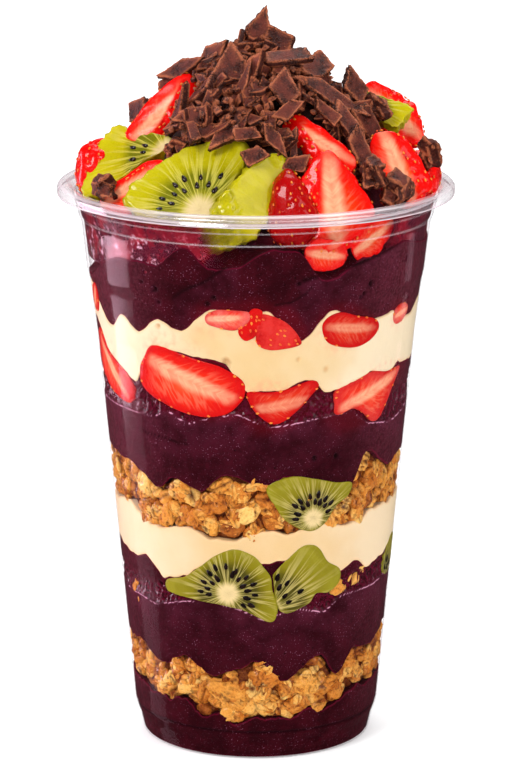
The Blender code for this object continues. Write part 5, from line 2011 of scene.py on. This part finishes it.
class Granola:
    """Both bands of granola and the two scraps."""

    bands = (GranolaBand("granola_low", BASE_TOP, GRANOLA_LOW_TOP, LOW_FLAKES, 300),
             GranolaBand("granola_mid", CREAM_LOW_TOP, GRANOLA_MID_TOP, MID_FLAKES, 400))
    scraps = (
        GranolaScrap("granola_scrap_right", ((38.5, 43.6, 6.2, 5, 10, 0), (45.5, 45.4, 5.4, 6, 60, 1),
                                             (51.5, 47.4, 4.6, 4.4, 20, 0)), 501),
        GranolaScrap("granola_scrap_left", ((-65.5, 40.6, 3, 4.8, -20, 0), (-62, 37.4, 3.2, 3, 0, 0)), 502))

    def build(self) -> None:
        """Build everything of granola."""
        finish = ToastedOats("toasted_oats").material()
        for part in (*self.bands, *self.scraps):
            part.build(finish)


# Chocolate

# Broken pieces that the photograph shows: middle, facing (azimuth, lean, roll), length and width
SHOWN_SHARDS = (
    (0.5, -3, 177.5, 10, 12, 28, 11, 6.5), (5.5, -4, 174.5, -15, 20, -12, 12, 8),
    (-6.5, -13, 168.5, -8, 25, 12, 15, 10), (-1, -15, 167.5, -50, 10, 22, 21, 5),
    (8.5, -12, 172, 5, 55, 85, 13, 5), (-0.5, -19, 164, 0, 35, -10, 10, 7.5),
    (6.5, -19.5, 165.5, 12, 25, 30, 9.5, 9), (-6.5, -25, 157, -5, 40, 50, 15, 9),
    (-14, -21, 159.5, -12, 30, 85, 11, 6), (17, -14, 163.5, 25, 35, 125, 20, 5.5),
    (22.5, -20, 156, 30, 28, 160, 15, 6), (24, -3, 163.5, 40, 25, 10, 12, 7),
    (-27, -3, 156.5, -60, 35, 30, 10, 8), (-20, -3, 164, -40, 40, 50, 11, 8),
    (-11, -4, 170, -30, 35, 30, 11, 7), (15, -5, 168.5, 30, 40, 60, 11, 7),
    (-28.5, -4, 158, -55, 20, 60, 9, 7), (-17.5, -3, 168, -30, 30, 60, 11, 6),
    (25, -23, 151, 25, 20, 165, 13, 7), (27, -12, 156, 50, 20, 150, 13, 8),
    (28.5, -17, 148.5, 40, 25, 20, 12, 8), (-2.4, -29, 156.3, -5, 20, 80, 7.5, 4.5),
    (4, -30, 155.8, 10, 15, 140, 10.5, 4.2), (-0.4, -33, 151.8, 0, 20, 60, 6.3, 5),
    (7.4, -24, 161.5, 5, 20, 70, 8.5, 5), (17.2, -22, 159.9, 20, 20, 135, 9, 4),
    (9.6, -29.5, 149.2, 5, 10, 70, 8, 5.5), (3, -25, 158.5, 0, 30, 20, 7, 5),
)
# Loose lumps between the fruit: name, middle, half sizes and turn
CHUNKS = (
    ("chocolate_left", (-37, -27, 142.8), (3.6, 2.4, 2.5), 25),
    ("chocolate_plate", (27.8, -31, 147.5), (2.9, 2, 4.2), -12),
    ("chocolate_right", (34, -29, 142.6), (4.6, 3, 4), -10),
    ("chocolate_far_right", (42, -12, 148.5), (2.8, 2.6, 3.8), 20),
    ("chocolate_back_right", (29.5, -4.5, 158.5), (3.5, 2.4, 2.7), 10),
)


def plates(places: Array, axes: Array, sizes: Array, seed: int, side_points: int = 4) -> Form:
    """Broken plates of chocolate.

    An outline runs straight between four corners at r (cos a, sin a). Its broken sides are
    nibbled by ripples, and its face bends as x squared.

    Args:
        places: middles, (count, 3).
        axes: tip, across and outward directions, (count, 3, 3).
        sizes: length, width and thickness, (count, 3).
        seed: of the outlines and chips.
        side_points: points along each side.

    Returns:
        The plates, with an edge value that is 1 on broken sides.
    """
    rng = default_rng(seed)
    count, sides = len(places), 4
    looks = np.arange(sides) + rng.uniform(-0.2, 0.2, (count, sides)) + rng.uniform(0, 1, (count, 1))
    looks = looks * math.tau / sides
    reach = rng.uniform(0.85, 1.4, (count, sides))
    corners = packed(reach * np.cos(looks), reach * np.sin(looks))[:, :, None]
    t = np.linspace(0.04, 0.96, side_points)[:, None]
    outline = (corners + (np.roll(corners, -1, axis=1) - corners) * t).reshape(count, 1, -1, 2)
    shares = np.array([0, 0.5, 0.8, 0.93, 0.985, 1, 1, 0.985, 0.93, 0.5, 0])[:, None]
    levels = np.array([1, 1, 1, 0.97, 0.84, 0.4, -0.4, -0.84, -0.97, -1, -1])[:, None]
    broken = np.array([0, 0, 0.12, 0.42, 0.62, 1, 1, 0.62, 0.42, 0.05, 0])[:, None]
    if side_points < 4:
        shares, levels, broken = (table[[0, 3, 5, 6, 8, 10]] for table in (shares, levels, broken))
    half = sizes[:, None, None] / 2
    local = np.concatenate([half[..., :2] * outline * shares[..., None], (half[..., 2] * levels)[..., None]
                            + 0 * outline[..., :1]], axis=-1)
    local[..., 2] += rng.uniform(-0.01, 0.016, (count, 1, 1)) * local[..., 0] ** 2
    loose = local + rng.uniform(-500, 500, (count, 1, 1, 3))
    chips = 0.2 * ripple(loose, 1.5, seed) + 0.18 * ripple(loose, 0.8, seed + 1)
    small = np.clip(sizes[:, :2].min(axis=1) / 5, 0.3, 1)[:, None, None]
    local[..., :2] += (chips * small * broken)[..., None] * unit(outline)
    rough = 0.07 * ripple(loose, 3.2, seed + 2) + 0.05 * broken * ripple(loose, 0.9, seed + 3)
    local[..., 2] += small * rough
    return Form(carried(local, places, axes), {"edge": broken})


@dataclass
class Chocolate:
    """The heap of broken chocolate, its crumbs and the lumps between the fruit."""

    seed: int = 700
    large: int = 90
    middling: int = 300
    small: int = 460
    crumbs: int = 620
    foot: float = 144
    tall: float = 31

    def skin_point(self, angle: Array, height: Array) -> Array:
        """Points on the heap's surface: its radius runs straight between the profile's corners."""
        radii, heights = np.array(HEAP_PROFILE).T
        return on_wall(angle, height, np.interp(height, heights, radii)) + HEAP_AXIS

    def clear_of_fruit(self, points: Array) -> Array:
        """Whether points lie outside every fruit on top."""
        return ~np.any([fruit.hides(points) for fruit in TOPPINGS], axis=0)

    def strewn(self, count: int, low: tuple, high: tuple, lift: tuple[float, float], seed: int,
               side_points: int) -> Form:
        """Seeded plates over the heap.

        Args:
            count: how many to spread.
            low: least length, width and thickness.
            high: greatest length, width and thickness.
            lift: least and greatest distance of their middles above the heap.
            seed: of the spread.
            side_points: points along each side of an outline.

        Returns:
            The plates that lie clear of the fruit.
        """
        rng = default_rng(seed)
        step = np.arange(count)
        angle = (step * GOLDEN_ANGLE + rng.uniform(-9, 9, count)) % 360
        rise = 1 - np.sqrt((step + 0.5) / count)
        height = self.foot + self.tall * clamp(rise * 1.02) ** 0.85
        places = self.skin_point(angle, height)
        places = places + unit(places - HEAP_MIDDLE) * rng.uniform(*lift, (count, 1))
        slope = 25 + 45 * (height - self.foot) / self.tall
        azimuth = angle + rng.uniform(-60, 60, count)
        lean = np.clip(slope + rng.uniform(-60, 25, count), -20, 84)
        axes = facing(azimuth, lean, rng.uniform(0, 180, count))
        sizes = low + (np.array(high) - low) * rng.uniform(0, 1, (count, 3)) ** (1, 1.7, 1)
        kept = self.clear_of_fruit(places)
        return plates(places[kept], axes[kept], sizes[kept], seed, side_points)

    def heart(self) -> Form:
        """The middle of the heap, lumpy, under the shards, in the gap colour: painted shade where gaps
        between shards show.

        Returns:
            The form.
        """
        radii, heights = np.array([(24, 140), *HEAP_PROFILE]).T
        share = np.linspace(0, 1, 40)
        run = np.linspace(0, 1, len(radii))
        radius = np.interp(share, run, radii)[:, None] - 2.6
        level = np.interp(share, run, heights)[:, None] - 2.6
        angles = np.arange(96) * 3.75
        points = on_wall(angles, level, np.maximum(radius, 0)) + HEAP_AXIS
        points = np.concatenate([points[:1] * 0 + HEAP_MIDDLE + (0, 0, 1), points])[None]
        bumps = 0.8 * ripple(points, 4, self.seed + 9) + 0.5 * ripple(points, 1.9, self.seed + 10)
        spread = np.linspace(0, 1, points.shape[1])[None, :, None]
        points = points + outward(points) * (bumps * np.minimum(spread * 8, 1))[..., None]
        # edge -1 gives it the gap colour, painted shade
        return Form(points, {"edge": np.array(-1)})

    def chunk(self, centre: tuple, half: tuple, turn: float, seed: int) -> Form:
        """One loose lump: three plates leaning together.

        Args:
            centre: middle of the lump.
            half: half sizes of the lump.
            turn: degrees that its plates are rolled by.
            seed: seed of the draws.

        Returns:
            The form.
        """
        rng = default_rng(seed)
        middle = np.array(centre)
        azimuth = math.degrees(math.atan2(middle[0], -middle[1]))
        shifts = np.array([(-0.3, 0.1, -0.25), (0.35, -0.1, -0.1), (0, 0.2, 0.4)]) * np.array(half)
        axes = facing(azimuth + np.array([-35, 30, 0]), np.array([25, 15, 55]),
                      turn + np.array([20, -30, 90]))
        size = np.array([2 * half[2], 2 * half[0], 1.6 * half[1]]) * rng.uniform(0.7, 0.88, (3, 3))
        size[:, 2] = np.clip(size[:, 2], 2, 3.4)
        form = plates(middle + shifts, axes, size, seed, 6)
        uneven = 0.3 * ripple(form.points, 2.4, seed) + 0.12 * ripple(form.points, 1.1, seed + 1)
        return Form(held_inside(form.points + outward(form.points) * uneven[..., None]), form.values)

    def loose_crumbs(self) -> Form:
        """Crumbs over the heap and caught on the fruit: small uneven balls.

        Returns:
            The form.
        """
        rng = default_rng(self.seed + 30)
        angle = (np.arange(self.crumbs) * GOLDEN_ANGLE) % 360
        height = 145 + 29 * rng.uniform(0, 1, self.crumbs) ** 1.3
        places = self.skin_point(angle, height)
        places = places + (places - HEAP_MIDDLE) / 30 * rng.uniform(-1, 2, (self.crumbs, 1))
        places = places[self.clear_of_fruit(places)]
        count = len(places)
        size = rng.uniform(0.4, 1.15, (count, 1, 1, 3))
        local = ball(6, 8) * size
        loose = local + rng.uniform(-500, 500, (count, 1, 1, 3))
        local = local * (1 + 0.3 * ripple(loose, 1.4, 3))[..., None]
        axes = facing(rng.uniform(0, 360, count), rng.uniform(-60, 60, count), rng.uniform(0, 180, count))
        return Form(carried(local, places, axes), {"edge": rng.uniform(0.2, 0.7, (count, 1, 1))})

    def build(self) -> None:
        """Build the heap and the loose lumps."""
        finish = BrokenChocolate("broken_chocolate").material()
        table = np.array(SHOWN_SHARDS)
        sizes = np.concatenate([table[:, 6:8] * (1, 0.88), np.full((len(table), 1), 2)], axis=1)
        shown = plates(table[:, :3], facing(table[:, 3], table[:, 4], table[:, 5]), sizes, self.seed, 12)
        forms = [self.heart(), shown,
                 self.strewn(self.large, (8, 2.4, 1.5), (15, 4.6, 2.4), (-1.2, 1.2), self.seed + 1, 8),
                 self.strewn(self.middling, (3.6, 1.8, 1.2), (8, 3.8, 2), (-0.9, 1.8), self.seed + 2, 5),
                 self.strewn(self.small, (1.6, 1.2, 0.9), (3.6, 2.4, 1.5), (0, 2.4), self.seed + 3, 3)]
        add_piece("chocolate_shards", forms, finish, ("chocolate_heap",))
        add_piece("chocolate_crumbs", [self.loose_crumbs()], finish, ())
        for step, (name, centre, half, turn) in enumerate(CHUNKS):
            lump = self.chunk(centre, half, turn, self.seed + 50 + step)
            add_piece(name + "_lump", [lump], finish, (name,))


# The neck

@dataclass
class NeckFilm:
    """The stained film on the inside of the neck, a thin closed shell."""

    low: float = 122.5
    high: float = 136.9
    steps: int = 240

    def build(self) -> None:
        """Build the film: out along the wall and back a hair inside it."""
        rise = np.linspace(self.low, self.high, 24)
        height = np.concatenate([rise, rise[::-1]])[:, None]
        thick = np.concatenate([np.full(24, 0.04), np.full(24, 0.14)])[:, None]
        angles = np.arange(self.steps) * 360 / self.steps
        points = on_wall(angles, height, inner_radius(height) - thick)[None]
        add_piece("neck_juice", [Form(points, {}, Ends.LOOP)], JuiceStain().material(), ())


# The studio

@dataclass(frozen=True)
class Softbox:
    """A soft light: where it hangs, what it faces, its sides and its power."""

    name: str
    place: tuple[float, float, float]
    aim: tuple[float, float, float]
    size: tuple[float, float]
    watts: float
    tint: Colour = (1, 1, 1)

    def hang(self) -> None:
        """Add the light."""
        lamp = bpy.data.lights.new(self.name, "AREA")
        lamp.shape = "RECTANGLE"
        lamp.size, lamp.size_y = self.size
        lamp.energy = self.watts
        lamp.color = self.tint
        holder = bpy.data.objects.new(self.name, lamp)
        holder.location = self.place
        holder.rotation_mode = "QUATERNION"
        holder.rotation_quaternion = (Vector(self.aim) - Vector(self.place)).to_track_quat("-Z", "Y")
        holder.visible_camera = False
        bpy.context.scene.collection.objects.link(holder)


@dataclass
class Studio:
    """Plain pale floor, white surroundings, soft lights and the camera at the photograph's angle."""

    lens: float = 178.2
    pitch: float = 13.362
    eye: tuple[float, float, float] = (0, -0.9212, 0.3073)
    surroundings: float = 0.3
    mirrored_surroundings: float = 0.04
    lights: tuple[Softbox, ...] = (
        Softbox("key_softbox", (-0.55, -0.75, 0.85), (0, 0, 0.12), (0.45, 0.45), 8.6),
        Softbox("fill_softbox", (0.75, -0.6, 0.5), (0, 0, 0.10), (0.6, 0.9), 4.1),
        Softbox("top_softbox", (0.1, 0.35, 0.9), (0, 0, 0.14), (0.8, 0.6), 5.5),
        Softbox("left_strip", (-0.666, 0.216, 0.1), (0, 0, 0.1), (0.3, 0.5), 3.6, (1, 0.7, 0.86)),
        Softbox("low_left_strip", (-0.666, 0.216, -0.375), (0, 0, -0.375), (0.3, 0.45), 0.5,
                (1, 0.68, 0.82)),
        Softbox("right_strip", (0.647, 0.47, -0.065), (0, 0, -0.065), (0.12, 0.17), 0.13, (1, 0.68, 0.82)),
    )

    def lay_floor(self) -> None:
        """A wide pale floor, a hair below the foot, that glows white far off."""
        corners = on_wall([-135, -45, 45, 135], -0.02, 5600) * MM
        mesh = bpy.data.meshes.new("floor")
        mesh.from_pydata(corners.tolist(), [], [(3, 2, 1, 0)])
        kit = Kit("pale_floor")
        drift = kit.noise(kit.place(), 300)
        colour = kit.mix(kit.ease(drift, 0.3, 0.7), shade(246, 246, 247), shade(250, 250, 250))
        far = kit.node("VectorMath", {"operation": "LENGTH"}, {0: kit.place()}, "Value")
        glow = kit.mix(kit.ease(far, 300, 1600), (0.35, 0.35, 0.35), (1, 1, 1))
        mesh.materials.append(kit.finish(kit.surface({
            "Base Color": colour, "Roughness": 0.9, "Specular IOR Level": 0,
            "Emission Color": glow, "Emission Strength": 1})))
        floor = bpy.data.objects.new("floor", mesh)
        floor.visible_glossy = False
        bpy.context.scene.collection.objects.link(floor)

    def light_world(self) -> None:
        """White surroundings for the eye, dim for the light that they give and dimmer in gloss."""
        world = bpy.data.worlds.new("surroundings")
        world.use_nodes = True
        tree = world.node_tree
        back = tree.nodes["Background"]
        back.inputs["Color"].default_value = (1, 1, 1, 1)
        seen = tree.nodes.new("ShaderNodeLightPath")
        source = None
        for ray, strength in (("Is Glossy Ray", self.mirrored_surroundings), ("Is Camera Ray", 1.05)):
            level = tree.nodes.new("ShaderNodeMapRange")
            level.inputs["To Min"].default_value = self.surroundings
            level.inputs["To Max"].default_value = strength
            if source:
                tree.links.new(source, level.inputs["To Min"])
            tree.links.new(seen.outputs[ray], level.inputs["Value"])
            source = level.outputs["Result"]
        tree.links.new(source, back.inputs["Strength"])
        bpy.context.scene.world = world

    def set_camera(self) -> None:
        """The camera in front of the cup, looking a little down."""
        camera = bpy.data.cameras.new("camera")
        camera.lens = self.lens
        camera.sensor_width = 36
        camera.clip_start = 0.01
        holder = bpy.data.objects.new("camera", camera)
        holder.location = self.eye
        holder.rotation_euler = (math.radians(90 - self.pitch), 0, 0)
        bpy.context.scene.collection.objects.link(holder)
        bpy.context.scene.camera = holder

    def build(self) -> None:
        """Set up floor, surroundings, lights, view and camera."""
        self.lay_floor()
        self.light_world()
        for light in self.lights:
            light.hang()
        self.set_camera()
        bpy.context.scene.view_settings.view_transform = "Standard"


def main() -> None:
    """Build the studio and the cup's pieces in order."""
    logging.basicConfig(level=logging.INFO, format="%(name)s: %(message)s")
    Studio().build()
    Cup().build()
    Layers().build()
    Granola().build()
    FruitBowl().build()
    Chocolate().build()
    NeckFilm().build()


if __name__ == "__main__":
    main()
